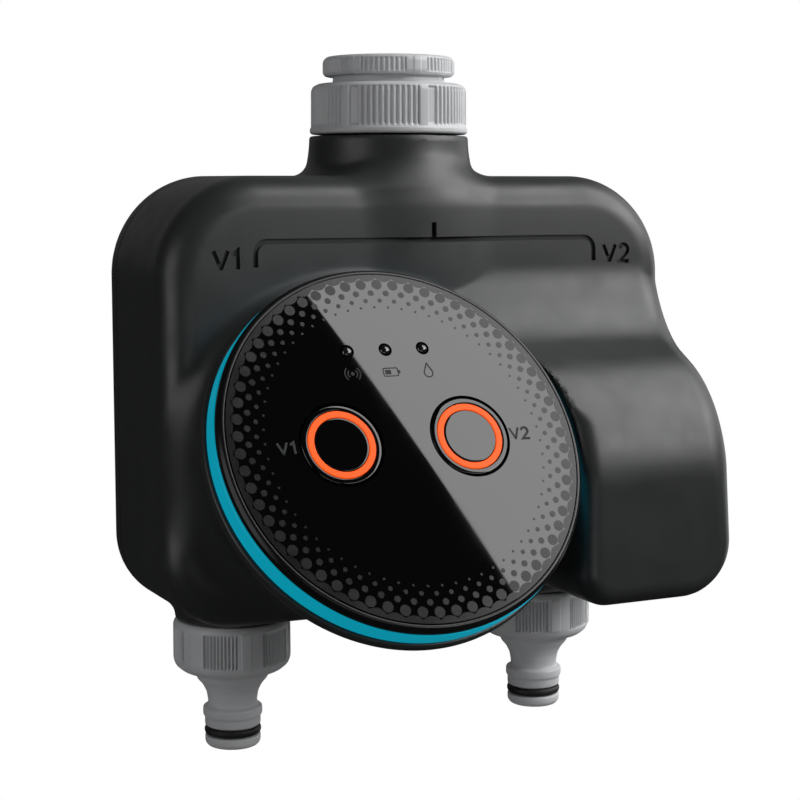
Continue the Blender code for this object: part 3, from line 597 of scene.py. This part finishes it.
def casing_field(x, y, z):
    """Distance to the casing's outer surface, front housing and rear cover together."""
    outline = meet(np.abs(x) - HALF_WIDTH, np.maximum(z - CASE_TOP, CASE_BOTTOM - z),
                   np.where(z > MID_HEIGHT, TOP_CORNER, BOTTOM_CORNER))
    lean_back = FRONT_CROWN * np.clip((z - CROWN_START) / (CASE_TOP - CROWN_START), 0, 1.2) ** 2
    slab_front = CASE_FRONT + lean_back - y
    slab = meet(outline, np.maximum(slab_front, y - CASE_REAR),
                np.where(y < -3, FRONT_EDGE, REAR_EDGE))
    flare = NECK_FLARE * np.clip((NECK_TOP - z) / (NECK_TOP - CASE_TOP), 0, 1.3) ** 2
    neck = meet(np.hypot(x, y) - NECK_RADIUS - flare, z - NECK_TOP, 0.8)
    neck = meet(np.maximum(neck, -60 - z), y - CASE_REAR, 2.0)
    body = fuse(slab, neck, 3.6 + 5.0 * ease(-y, 12, 27))

    u, v, w = panel_space(x, y, z)
    across = np.hypot(u, v)
    rise = z - PANEL_CENTRE[2] + 12 * math.sin(TILT)
    cone = 0.9 * (np.hypot(u, rise / np.where(rise < 0, math.cos(TILT), 1.3))
                  - (LIP_RADIUS - 0.4 - POD_TAPER * (y - PANEL_CENTRE[1] + 16)))
    pod = meet(across - POD_RADIUS, cone, 3.0)
    pod = np.maximum(pod, np.maximum(w + 7.0, -POD_DEPTH - w))
    body = fuse(body, pod, 4.0 + 7.0 * ease(-z, 40, 80))

    slope = 1.5 * (CASE_FRONT - BOX_FRONT) / (RAMP_TOP - RAMP_BOTTOM)
    ramp = ((CASE_FRONT + BOX_FRONT) / 2 + slope * (z - (RAMP_TOP + RAMP_BOTTOM) / 2) - y)
    front = fuse(slab_front, meet(BOX_FRONT - y, ramp / math.hypot(1, slope), SHOULDER), VALLEY)
    left = RAMP_LEFT + (BOX_LEFT - RAMP_LEFT) * ease(-z, 62, 92) - x
    side = np.maximum(x - BOX_RIGHT, left)
    box_outline = meet(side, BOX_BOTTOM - z, np.where(x > 52, 16.0, 10.0))
    rounding = 5.5 + 4.5 * ease(x, 58, 72) * ease(z, -138, -92)
    box = np.maximum(meet(box_outline, front, rounding), np.maximum(y - 10, z + 50))
    body = np.minimum(body, box)

    scoop = np.maximum(across - SCOOP_RADIUS, -9.7 - w)
    body = meet(body, -scoop, 0.9)
    for outlet in (-OUTLET_X, OUTLET_X):
        rim = meet(np.hypot(x - outlet, y) - 16.2, -148.9 - z, 0.6)
        body = fuse(body, np.maximum(rim, z + 140), 2.4)
    return np.maximum(body, y - CASE_REAR)


def gradient(field, points, step=0.04):
    slopes = []
    for axis in range(3):
        offset = np.zeros(3)
        offset[axis] = step
        ahead, behind = points + offset, points - offset
        slopes.append((field(*ahead.T) - field(*behind.T)) / (2 * step))
    return np.stack(slopes, axis=1)


def surface_of(field, low, high, cell, rounds=3):
    """Quads on the zero level of a field: one point in each crossed cell, pulled on to it."""
    axes = [np.arange(a, b + cell, cell) for a, b in zip(low, high)]
    values = field(*np.meshgrid(*axes, indexing="ij"))
    inside = values < 0
    corners = [(i, j, k) for i in (0, 1) for j in (0, 1) for k in (0, 1)]
    size = [len(axis) - 1 for axis in axes]
    view = [slice(None)] * 3

    def corner(array, offset):
        for n in range(3):
            view[n] = slice(offset[n], offset[n] + size[n])
        return array[tuple(view)]

    count = sum(corner(inside, c).astype(np.int8) for c in corners)
    cells = np.argwhere((count > 0) & (count < 8))
    known = {c: values[tuple((cells + c).T)] for c in corners}
    total, crossings = np.zeros((len(cells), 3)), np.zeros(len(cells))
    for a in corners:
        for axis in range(3):
            if a[axis]:
                continue
            b = tuple(v + (n == axis) for n, v in enumerate(a))
            va, vb = known[a], known[b]
            crossed = (va < 0) != (vb < 0)
            share = np.where(crossed, va / np.where(crossed, va - vb, 1.0), 0.0)
            place = np.array(a, float) + share[:, None] * np.eye(3)[axis]
            total += place * crossed[:, None]
            crossings += crossed
    points = np.array(low) + (cells + total / crossings[:, None]) * cell
    for _ in range(rounds):
        slope = gradient(field, points)
        steepness = np.maximum((slope ** 2).sum(axis=1), 0.05)
        shift = -(field(*points.T) / steepness)[:, None] * slope
        length = np.linalg.norm(shift, axis=1)
        points += shift * np.minimum(1.0, 0.5 * cell / np.maximum(length, 1e-9))[:, None]

    index = -np.ones(size, dtype=np.int64)
    index[tuple(cells.T)] = np.arange(len(cells))
    quads = []
    for axis in range(3):
        p, q = (axis + 1) % 3, (axis + 2) % 3
        first = [slice(0, len(a)) for a in axes]
        second = list(first)
        first[axis], second[axis] = slice(0, -1), slice(1, None)
        change = inside[tuple(first)] != inside[tuple(second)]
        edges = np.argwhere(change)
        starts_inside = inside[tuple(edges.T)]
        ring = []
        for dp, dq in ((-1, -1), (0, -1), (0, 0), (-1, 0)):
            cell_at = edges.copy()
            cell_at[:, p] += dp
            cell_at[:, q] += dq
            ring.append(index[tuple(cell_at.T)])
        ring = np.stack(ring, axis=1)
        ring[~starts_inside] = ring[~starts_inside][:, ::-1]
        quads.append(ring)
    return points, np.concatenate(quads).tolist()


def welded_node(name):
    """A closed copy of a CAD node's mesh."""
    return face_outwards(weld(copy_of(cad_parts[name], name + "_copy")))


def hollow(node, inside):
    """The space inside a CAD shell: what the node leaves free of the given inner solid."""
    space = copy_of(inside, node + "_space")
    return combine(space, welded_node(node), "DIFFERENCE")


def ribbon_cutter(path, width, low, high):
    """Cutter for a groove in the casing's front: the path is in (x, z), low and high in y."""
    points, faces = strip(path, width, low, high)
    return face_outwards(make_object("groove", [(x, y, z) for x, z, y in points], faces))


def front_grooves():
    """The bracket that joins the two valve labels, and the labels, sunk into the front."""
    low, high = CASE_FRONT - 1.0, CASE_FRONT + 1.4
    bar_z, leg_x, leg_z, corner = -41.6, 52.7, -48.4, 3.2
    bracket = ([(-leg_x, leg_z)]
               + arc_path((-leg_x + corner, bar_z - corner), corner, 180, 90, 6)
               + arc_path((leg_x - corner, bar_z - corner), corner, 90, 0, 6)
               + [(leg_x, leg_z)])
    cutters = [ribbon_cutter(bracket, 1.5, low, high),
               ribbon_cutter([(0, bar_z - 0.3), (0, bar_z + 4.8)], 1.5, low, high)]
    for side, text in ((-1, "V1"), (1, "V2")):
        for path in letter_paths(text, 4.9):
            cutters.append(ribbon_cutter([(side * 60.4 + x, z - 46.3) for x, z in path], 1.15,
                                         low, high))
    return cutters


def screw_recess(x, z):
    return lay_along_y(bore("counterbore", 3.5, -0.3, 10, 48), x, SCREW_SEAT, z)


def finish_shell(obj, body, node):
    finish_piece(paint(obj, CASING), body, (node,), 32, weighted=False)


def casing():
    """Front housing, rear cover and battery cover, cut from one flowing surface."""
    low, high = (-80.5, -92.0, -151.0), (80.5, 25.0, -10.0)
    outer = make_object("casing_outer", *surface_of(casing_field, low, high, 1.0))
    inner = make_object("casing_inner", *surface_of(
        lambda x, y, z: casing_field(x, y, z) + WALL, low, high, 1.8, 2))
    lip = [(0, -9.6), (SCOOP_RADIUS, -9.6), (LIP_RADIUS, -10.2), (LIP_RADIUS, -12.4),
           (51.6, -14.0), (49.0, -15.0), (0, -15.0)]
    lip = to_panel(turned("lip", soften(lip, 0.5, False), None, 256))
    front = copy_of(outer, "front_housing_shell")
    combine(front, lip, "UNION")
    cut(front, block((-100, SEAM_Y - SEAM_GAP / 2, -170), (100, 60, 10)))
    front_space = hollow("front_housing", inner)
    rear_space = hollow("rear_cover", inner)
    cut(front, front_space)
    for outlet in (-OUTLET_X, OUTLET_X):
        cut(front, bore("outlet_hole", 13.5, -155, -140, at=(outlet, 0, 0)))
    cut(front, bore("neck_hole", 11, -18, -5))
    x0, x1, y0, y1 = DRAWER
    opening = block((x0 - 0.3, y0 - 0.3, -160), (x1 + 0.3, y1 + 0.3, -136))
    cut(front, opening, *front_grooves())
    finish_shell(front, "housing", "front_housing")

    rear = copy_of(outer, "rear_cover_shell")
    cut(rear, block((-100, -100, -170), (100, SEAM_Y + SEAM_GAP / 2, 10)), rear_space)
    cut(rear, *[screw_recess(x, z) for x, z in SCREWS])
    finish_shell(rear, "housing", "rear_cover")

    cover = copy_of(outer, "battery_cover_shell")
    combine(cover, block((x0, y0, -150), (x1, y1, COVER_TOP)), "INTERSECT")
    cut(cover, bore("lock_recess", 5.8, -150, -139.9, 64, (*LOCK, 0)))
    finish_shell(cover, "battery_drawer", "battery_cover")
    discard(outer, inner)


# ------------------------------------------------------------------ hand nuts and nipples

def window(value, low, high, soft):
    """1 between low and high, easing to 0 over soft either side."""
    return ease(value, low - soft, low + soft) * (1 - ease(value, high - soft, high + soft))


def wrapped(angles, period, centre):
    """Degrees from the nearest panel centre."""
    turn = np.degrees(angles + GRIP_ZERO) - centre
    return (turn + period / 2) % period - period / 2


def ripple(around, pitch, power):
    """Rounded ribs, one in each pitch of degrees: 1 on a crest and 0 between two."""
    return (0.5 + 0.5 * np.cos(np.radians(360 * around / pitch))) ** power


def thread(angle, z, pitch, depth):
    """Height of a rounded thread ridge at an angle and a height."""
    phase = (z / pitch - angle / (2 * math.pi)) % 1.0
    return depth * (0.5 - 0.5 * np.cos(2 * math.pi * phase)) ** 0.8


def union_nut():
    def relief(r, z, angle):
        if r < 19:
            return thread(angle, z, PITCH_LARGE, -0.75) if -8.6 < z < 1.5 and r > 16 else 0.0
        around = wrapped(angle, 60, 0)
        recess = window(wrapped(angle, 60, -3), -26.3, 26.3, 0.7)
        ribs = window(around, -22.5, 22.5, 0.4) * ripple(around, 4.2, 0.6)
        height = window(z, -9.7, 0.9, 0.4)
        return height * recess * (0.6 * ribs - 0.85)

    profile = [(22.5, -10.2), (22.8, -10.5), (22.8, -11.6), (22.2, -12.1), (11.0, -12.1),
               (11.0, -9.8), (16.9, -9.8), (16.9, 2.3), (20.3, 2.3), (21.9, 1.5), (22.45, 0.4)]
    profile = refine(soften(profile, 0.45, True), [(-10.0, 2.2, 21.0), (-9.8, 2.2, 16.5)], True)
    nut = turned("union_nut_shell", profile, GREY, 720, True, relief=relief)
    finish_piece(nut, "union_nut", ("union_nut",), 50, weighted=False)


def inlet_adapter():
    def relief(r, z, angle):
        if r < 15:
            return thread(angle, z, PITCH_SMALL, -0.7) if -1.0 < z < 8.8 and r > 12 else 0.0
        around = wrapped(angle, 60, -4)
        panel = window(around, -20, 20, 0.5) * window(z, 5.3, 8.9, 0.3)
        bar = 0.18 * window(wrapped(angle, 60, 26), -3.4, 3.4, 0.6)
        return (panel * (0.45 * ripple(around, 4.4, 0.7) - 0.62) - 0.18 + bar) * (r > 18.3)

    profile = [(17.6, 10.0), (18.7, 9.4), (19.05, 8.4), (19.05, 5.4), (18.4, 4.5), (16.0, 4.4),
               (16.2, 2.5), (16.6, 2.6), (16.6, -2.9), (9.6, -2.9), (9.6, -1.5), (13.2, -1.5),
               (13.2, 9.0), (14.0, 10.0)]
    profile = refine(soften(profile, 0.4, True), [(4.9, 9.2, 18.2), (-1.4, 9.4, 12.5)], True)
    adapter = turned("inlet_adapter_shell", profile, GREY, 720, True, relief=relief)
    finish_piece(adapter, "tap_adapter", ("inlet_adapter",), 50, weighted=False)


def outlet_connector(side, number):
    def relief(r, z, angle):
        if r < 15.9:
            inside = -160.5 < z < -150 and 13 < r < 14
            return thread(angle, z, PITCH_SMALL, -0.3) if inside else 0.0
        around = wrapped(angle, 60, -6)
        panel = window(around, -17, 17, 0.6) * window(z, -160.8, -151.5, 0.35)
        ribs = window(around, -15, 15, 0.5) * ripple(around, 3.6, 0.7)
        plaque = 0.25 * window(wrapped(angle, 120, 19.3), -5, 5, 0.4)
        bar_rib = 0.25 * window(wrapped(angle, 120, -40), -1.1, 1.1, 0.5)
        tall = window(z, -161.2, -151.2, 0.4)
        return panel * (0.75 * ribs - 0.95) + (plaque + bar_rib) * tall

    profile = [(13.4, -149.3), (15.9, -149.3), (16.5, -150.1), (16.75, -151.0), (16.8, -160.9),
               (16.2, -162.6), (14.4, -164.1), (10.9, -165.1), (10.1, -167.0), (8.6, -168.7),
               (7.5, -170.9), (7.05, -173.4), (7.05, -174.9), (8.5, -175.5), (8.5, -177.7),
               (8.0, -178.4), (8.0, -180.9), (6.4, -180.9), (6.4, -183.7), (8.0, -183.7),
               (7.95, -185.8), (7.1, -186.9), (5.3, -186.9), (5.0, -186.4), (5.0, -161.7),
               (13.4, -161.7)]
    profile = refine(soften(profile, 0.55, True), [(-162.0, -150.9, 15.8), (-161, -149.8, 13.0)],
                     True)
    name = f"outlet_connector_{number}"
    body = turned(name + "_shell", profile, GREY, 720, True, at=(side * OUTLET_X, 0, 0),
                  relief=relief)
    finish_piece(body, f"outlet_{number}", (name,), 50, weighted=False)

    ring = [(7.4 + 0.75 * math.cos(a), -182.3 + 1.1 * math.sin(a))
            for a in np.linspace(0, 2 * math.pi, 17)[:-1]]
    ring = turned(f"o_ring_{number}", ring, RUBBER, 128, True, at=(side * OUTLET_X, 0, 0))
    finish_piece(ring, f"outlet_{number}", (f"nipple_o_ring_{number}",))

    seal = soften([(13.0, -161.4), (13.0, -159.8), (6.5, -159.8), (6.5, -161.4)], 0.3, True)
    seal = turned(f"flat_seal_{number}", seal, RUBBER, 128, True, at=(side * OUTLET_X, 0, 0))
    finish_piece(seal, f"outlet_travel_{number}", (f"outlet_seal_{number}",))


def spigot_thread(side, number):
    """The ridge of the outlet's male thread, which shows when the connector is off."""
    def relief(r, z, angle):
        return thread(angle, z, PITCH_SMALL, 0.27) if r > 13 else 0.0

    profile = refine([(12.6, -158.9), (13.03, -158.9), (13.03, -150.5), (12.6, -150.5)],
                     [(-158.9, -150.5, 13.0)], True, 0.25)
    ridge = turned(f"spigot_thread_{number}", profile, WHITE, 256, True,
                   at=(side * OUTLET_X, 0, 0), relief=relief)
    finish_piece(ridge, "housing", (), 60, weighted=False)


def tap_seal():
    washer = soften([(12.9, -1.2), (12.9, 0.0), (8.6, 0.0), (8.6, -1.2)], 0.3, True)
    finish_piece(turned("tap_washer_ring", washer, RUBBER, 128, True), "tap_adapter",
                 ("tap_washer",))


# ------------------------------------------------------------------ control panel

def dome(radius):
    """Height of the panel's slightly crowned face."""
    return FACE_CROWN - FACE_DROP * (radius / PANEL_RADIUS) ** 2


def panel_face():
    """The polished face with its button and lamp holes."""
    radii = np.linspace(0, PANEL_RADIUS, 40)
    profile = [(r, dome(r)) for r in radii] + [(PANEL_RADIUS, -1.6), (0, -1.6)]
    face = turned("panel_face", profile, POLISHED, 256)
    for side in (-1, 1):
        cut(face, bore("hole", BUTTON_RADIUS + 0.45, -3, 3, 128, (side * BUTTON_X, BUTTON_Y, 0)))
    for i in (-1, 0, 1):
        cut(face, bore("hole", 1.9, -3, 3, 48, (i * LAMP_PITCH, LAMP_Y, 0)))
    paint(face, POLISHED)
    crowned = crown_normals(face.data)
    smooth(face, 38)
    turn = np.array([PANEL_AXES.T @ n for n in crowned])
    to_panel(face)
    face.data.normals_split_custom_set(turn.tolist())
    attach(face, "housing")
    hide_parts("front_panel")


def crown_normals(mesh):
    """True normals for the crowned face, so that its reflections run clean past the holes."""
    normals = []
    for polygon in mesh.polygons:
        flat = np.array(polygon.normal)
        for index in polygon.vertices:
            x, y, _ = np.array(mesh.vertices[index].co) / MM
            true = np.array((2 * FACE_DROP * x / PANEL_RADIUS ** 2,
                             2 * FACE_DROP * y / PANEL_RADIUS ** 2, 1))
            true /= np.linalg.norm(true)
            normals.append(true if flat @ true > 0.995 else flat)
    return normals


def dot_pattern():
    """Matte dots in four rows that shrink towards the middle, and the scalloped outer ring."""
    per_turn = 62
    rows = ((46.2, 1.475, 0.0, 20), (43.6, 0.875, 0.5, 16), (41.3, 0.625, 0.0, 14),
            (39.3, 0.35, 0.5, 10))
    pieces = Patchwork()
    for radius, size, shift, sides in rows:
        for k in range(per_turn):
            angle = (k + shift) * 2 * math.pi / per_turn
            centre = (radius * math.cos(angle), radius * math.sin(angle))
            pieces.disc(centre, size, dome(radius) - 0.3, dome(radius) + 0.06, sides)
    steps, edge = per_turn * 16, 49.15
    angles = np.arange(steps) * 2 * math.pi / steps
    inner = 48.3 - 1.1 * np.abs(np.sin(angles * per_turn / 2)) ** 0.8
    points, faces = [], []
    for angle, r in zip(angles, inner):
        for radius, height in ((r, dome(r) + 0.05), (edge, dome(edge) + 0.05),
                               (edge, dome(edge) - 0.4), (r, dome(r) - 0.4)):
            points.append((radius * math.cos(angle), radius * math.sin(angle), height))
    for i in range(steps):
        a, b = 4 * i, 4 * ((i + 1) % steps)
        faces += [(a + k, b + k, b + (k + 1) % 4, a + (k + 1) % 4) for k in range(4)]
    pieces.add(points, faces)
    dots = to_panel(pieces.build("panel_dots", MATTE))
    finish_piece(dots, "housing", (), 30, weighted=False)


def panel_print():
    """Symbols under the lamps and the valve labels beside the buttons."""
    pieces = Patchwork()
    level = dome(math.hypot(LAMP_PITCH, SYMBOL_Y))
    low, high = level - 0.3, level + 0.07
    signal_x, battery_x, drop_x, row = -LAMP_PITCH, 0.0, LAMP_PITCH, SYMBOL_Y
    pieces.disc((signal_x, row), 0.55, low, high, 16)
    for radius in (1.35, 2.2):
        for middle in (0, 180):
            pieces.strip(arc_path((signal_x, row), radius, middle - 48, middle + 48, 12), 0.34,
                         low, high)
    half_w, half_h = 2.1, 1.15
    outline = []
    for cx, cy, start in ((half_w, half_h, 0), (-half_w, half_h, 90), (-half_w, -half_h, 180),
                          (half_w, -half_h, 270)):
        inset = 0.35
        outline += arc_path((battery_x + cx - math.copysign(inset, cx),
                             row + cy - math.copysign(inset, cy)), inset, start, start + 90, 3)
    pieces.strip(outline, 0.3, low, high, closed=True)
    pieces.strip([(battery_x + half_w + 0.45, row + v) for v in (-0.45, 0.45)], 0.5, low, high)
    pieces.strip([(battery_x - 1.6, row), (battery_x + 0.1, row)], 1.3, low, high)
    drop = [(drop_x, row + 2.1)]
    drop += arc_path((drop_x, row - 0.7), 1.25, 28, -208, 18)
    pieces.strip(drop, 0.32, low, high, closed=True)
    label_x = 33.4
    for side, text in ((-1, "V1"), (1, "V2")):
        for path in letter_paths(text, 3.2):
            pieces.strip([(side * label_x + u, v + 0.4) for u, v in path], 0.62,
                         dome(label_x) - 0.3, dome(label_x) + 0.07)
    finish_piece(to_panel(pieces.build("panel_symbols", PRINT)), "housing", (), 30,
                 weighted=False)


def panel_rings():
    bezel = [(50.25, -0.45), (51.2, -1.5), (51.2, -3.3), (45.5, -3.3), (45.5, -1.9), (49.35, -1.9),
             (49.35, -0.45)]
    bezel = to_panel(turned("bezel_ring", soften(bezel, 0.3, True), MATTE, 256, True))
    finish_piece(bezel, "housing", ("panel_bezel",))
    accent = [(ACCENT_RADIUS, -3.6), (ACCENT_RADIUS, -9.3), (47.4, -9.3), (47.4, -3.6)]
    accent = to_panel(turned("accent_band", soften(accent, 0.6, True, 4), TEAL, 256, True))
    finish_piece(accent, "housing", ("accent_ring",))


def button(side, number):
    at = (side * BUTTON_X, BUTTON_Y, 0)
    cap = [(0, 0.24), (3.5, 0.24), (6.9, 0.24), (7.4, 0.24), (7.4, -0.7), (9.5, -0.7), (9.5, 0.26),
           (10.8, 0.2), (BUTTON_RADIUS, -0.25), (BUTTON_RADIUS, -2.6), (4.0, -2.6), (4.0, -5.0),
           (0, -5.0)]
    cap = to_panel(turned(f"button_cap_{number}", soften(cap, 0.22, False), POLISHED, 128, at=at))
    finish_piece(cap, f"button_{number}", (f"button_{number}",))
    ring = soften([(9.35, -0.4), (9.35, 0.27), (7.55, 0.27), (7.55, -0.4)], 0.22, True)
    ring = to_panel(turned(f"light_ring_{number}", ring, ORANGE, 128, True, at=at))
    finish_piece(ring, f"button_{number}", (f"button_ring_{number}",))


def lamps():
    """Three smoky lenses in the face, on the web that joins them below."""
    web = block((-LAMP_PITCH - 2.2, LAMP_Y - 2.2, -5.6), (LAMP_PITCH + 2.2, LAMP_Y + 2.2, -4.2),
                "lamp_lenses")
    for i in (-1, 0, 1):
        crown = [(0, 0.75), (0.6, 0.66), (1.1, 0.42), (1.45, 0.02), (1.6, -0.5), (1.6, -4.8),
                 (0, -4.8)]
        combine(web, turned("lens", crown, None, 48, at=(i * LAMP_PITCH, LAMP_Y, 0)), "UNION")
    finish_piece(to_panel(paint(web, LENS)), "housing", ("status_light_guide",), 45)


# ------------------------------------------------------------------ fixings and batteries

def screws():
    for number, (x, z) in enumerate(SCREWS, 1):
        profile = [(0, 2.2), (1.4, 2.1), (2.4, 1.6), (2.9, 0.9), (3.0, 0.0), (1.5, 0.0),
                   (1.5, -12.0), (0.3, -14.0), (0, -14.0)]
        screw = turned(f"cross_screw_{number}", soften(profile, 0.2, False), STEEL, 64)
        for turn in (0, 90):
            bar = block((-1.6, -0.35, 1.0), (1.6, 0.35, 3.0))
            bar.data.transform(Matrix.Rotation(math.radians(turn), 4, "Z"))
            cut(screw, bar)
        lay_along_y(paint(screw, STEEL), x, SCREW_SEAT, z)
        finish_piece(screw, "housing", (f"housing_screw_{number}",), 40)


def battery_lock():
    lock = turned("lock_disc", soften([(0, -142.1), (5.4, -142.1), (5.4, -140.2), (0, -140.2)],
                                      0.4, False), GREY, 96, at=(*LOCK, 0))
    cut(lock, block((LOCK[0] - 4.2, LOCK[1] - 0.9, -145), (LOCK[0] + 4.2, LOCK[1] + 0.9, -141.1)))
    finish_piece(paint(lock, GREY), "battery_lock", ("battery_lock",), 40)


def battery_cells():
    for number, place in enumerate(CELLS, 1):
        top, low = CELL_TOP, CELL_BOTTOM
        profile = [(0, top), (2.6, top), (2.6, top - 1.2), (6.2, top - 1.2), (6.6, top - 0.95),
                   (CELL_RADIUS, top - 1.6), (CELL_RADIUS, low + 0.4), (6.6, low + 0.05),
                   (6.0, low + 0.3), (0, low + 0.3)]
        cell = turned(f"aa_cell_{number}", soften(profile, 0.25, False), JACKET, 96,
                      at=(*place, 0))
        finish_piece(cell, "battery_drawer", (f"battery_cell_{number}",))


def finish_inner_nodes():
    """Every CAD node that still shows gets the detailed finish of its slot."""
    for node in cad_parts.values():
        for index, slot in enumerate(node.material_slots):
            name = slot.material.name.split(".")[0]
            if name in FINISH:
                node.data.materials[index] = FINISH[name]


# ------------------------------------------------------------------ studio

def softbox(name, azimuth, elevation, distance, width, height, radiance, upright=False):
    """Area light seen from the object at an azimuth from the front, positive to the right."""
    target = Vector((0.0, -0.03, -0.09))
    az, el = math.radians(azimuth), math.radians(elevation)
    direction = Vector((math.sin(az) * math.cos(el), -math.cos(az) * math.cos(el), math.sin(el)))
    light = bpy.data.lights.new(name, "AREA")
    light.shape = "RECTANGLE"
    light.size, light.size_y = width, height
    light.energy = radiance * width * height * math.pi
    lamp = bpy.data.objects.new(name, light)
    lamp.location = target + direction * distance
    facing = Vector((direction.x, direction.y, 0)) if upright else direction
    lamp.rotation_euler = facing.to_track_quat("Z", "Y").to_euler()
    lamp.visible_camera = False
    bpy.context.scene.collection.objects.link(lamp)


def white_to_camera(tree, plain, white, output):
    """Let the camera see the white shader, and every other ray the plain one."""
    seen = tree.nodes.new("ShaderNodeLightPath")
    mix = tree.nodes.new("ShaderNodeMixShader")
    for source, target in ((seen.outputs["Is Camera Ray"], mix.inputs[0]),
                           (plain.outputs[0], mix.inputs[1]), (white.outputs[0], mix.inputs[2]),
                           (mix.outputs[0], output.inputs["Surface"])):
        tree.links.new(source, target)


def studio():
    """A pale floor under soft boxes, in front of white."""
    scene = bpy.context.scene
    scene.view_settings.view_transform = "Standard"
    world = bpy.data.worlds.new("studio")
    scene.world = world
    world.use_nodes = True
    tree = world.node_tree
    background = tree.nodes["Background"]
    background.inputs["Color"].default_value = (0.02, 0.0205, 0.0215, 1)
    white = tree.nodes.new("ShaderNodeBackground")
    white.inputs["Color"].default_value = (1, 1, 1, 1)
    white_to_camera(tree, background, white, tree.nodes["World Output"])

    floor_level, reach = -262.0, 4000.0
    floor = make_object("floor", [(-reach, -reach, floor_level), (reach, -reach, floor_level),
                                  (reach, reach, floor_level), (-reach, reach, floor_level)],
                        [(0, 1, 2, 3)])
    pale = Nodes("pale_floor", 0.9)
    pale.colour(pale.mix(pale.remap(pale.noise(60.0), 0.0, 1.0), (0.2, 0.2, 0.2),
                         (0.24, 0.24, 0.24)))
    white_to_camera(pale.tree, pale.shader, pale.add("ShaderNodeEmission"),
                    pale.tree.nodes["Material Output"])
    floor.data.materials.append(pale.material)
    floor.visible_glossy = False

    softbox("key", 62.5, 52, 1.7, 1.0, 2.1, 5.2, upright=True)
    softbox("front_right", 38, 22, 1.7, 1.0, 0.4, 4.6)
    softbox("fill_left", -75, 4, 1.6, 1.0, 1.4, 1.6)
    softbox("rim_right", 108, 10, 1.5, 0.8, 1.6, 1.0)
    softbox("front_low", -12, -10, 1.8, 1.2, 0.4, 1.8)
    softbox("back", 170, 25, 1.8, 2.4, 1.4, 0.12)


def camera():
    """The product shot's view: from the left, slightly above."""
    turn, drop = math.atan2(0.4384, 0.8988), math.radians(6.69)
    lens = bpy.data.cameras.new("camera")
    lens.lens, lens.sensor_width = 83.25, 36.0
    eye = bpy.data.objects.new("camera", lens)
    bpy.context.scene.collection.objects.link(eye)
    eye.location = (-0.2346, -0.4886, -0.026)
    look = Vector((math.sin(turn) * math.cos(drop), math.cos(turn) * math.cos(drop),
                   -math.sin(drop)))
    eye.rotation_euler = look.to_track_quat("-Z", "Y").to_euler()
    bpy.context.scene.camera = eye


casing()
union_nut()
inlet_adapter()
tap_seal()
for outlet_side, outlet_number in ((-1, 1), (1, 2)):
    outlet_connector(outlet_side, outlet_number)
    spigot_thread(outlet_side, outlet_number)
    button(outlet_side, outlet_number)
panel_rings()
panel_face()
dot_pattern()
panel_print()
lamps()
screws()
battery_lock()
battery_cells()
finish_inner_nodes()
studio()
camera()
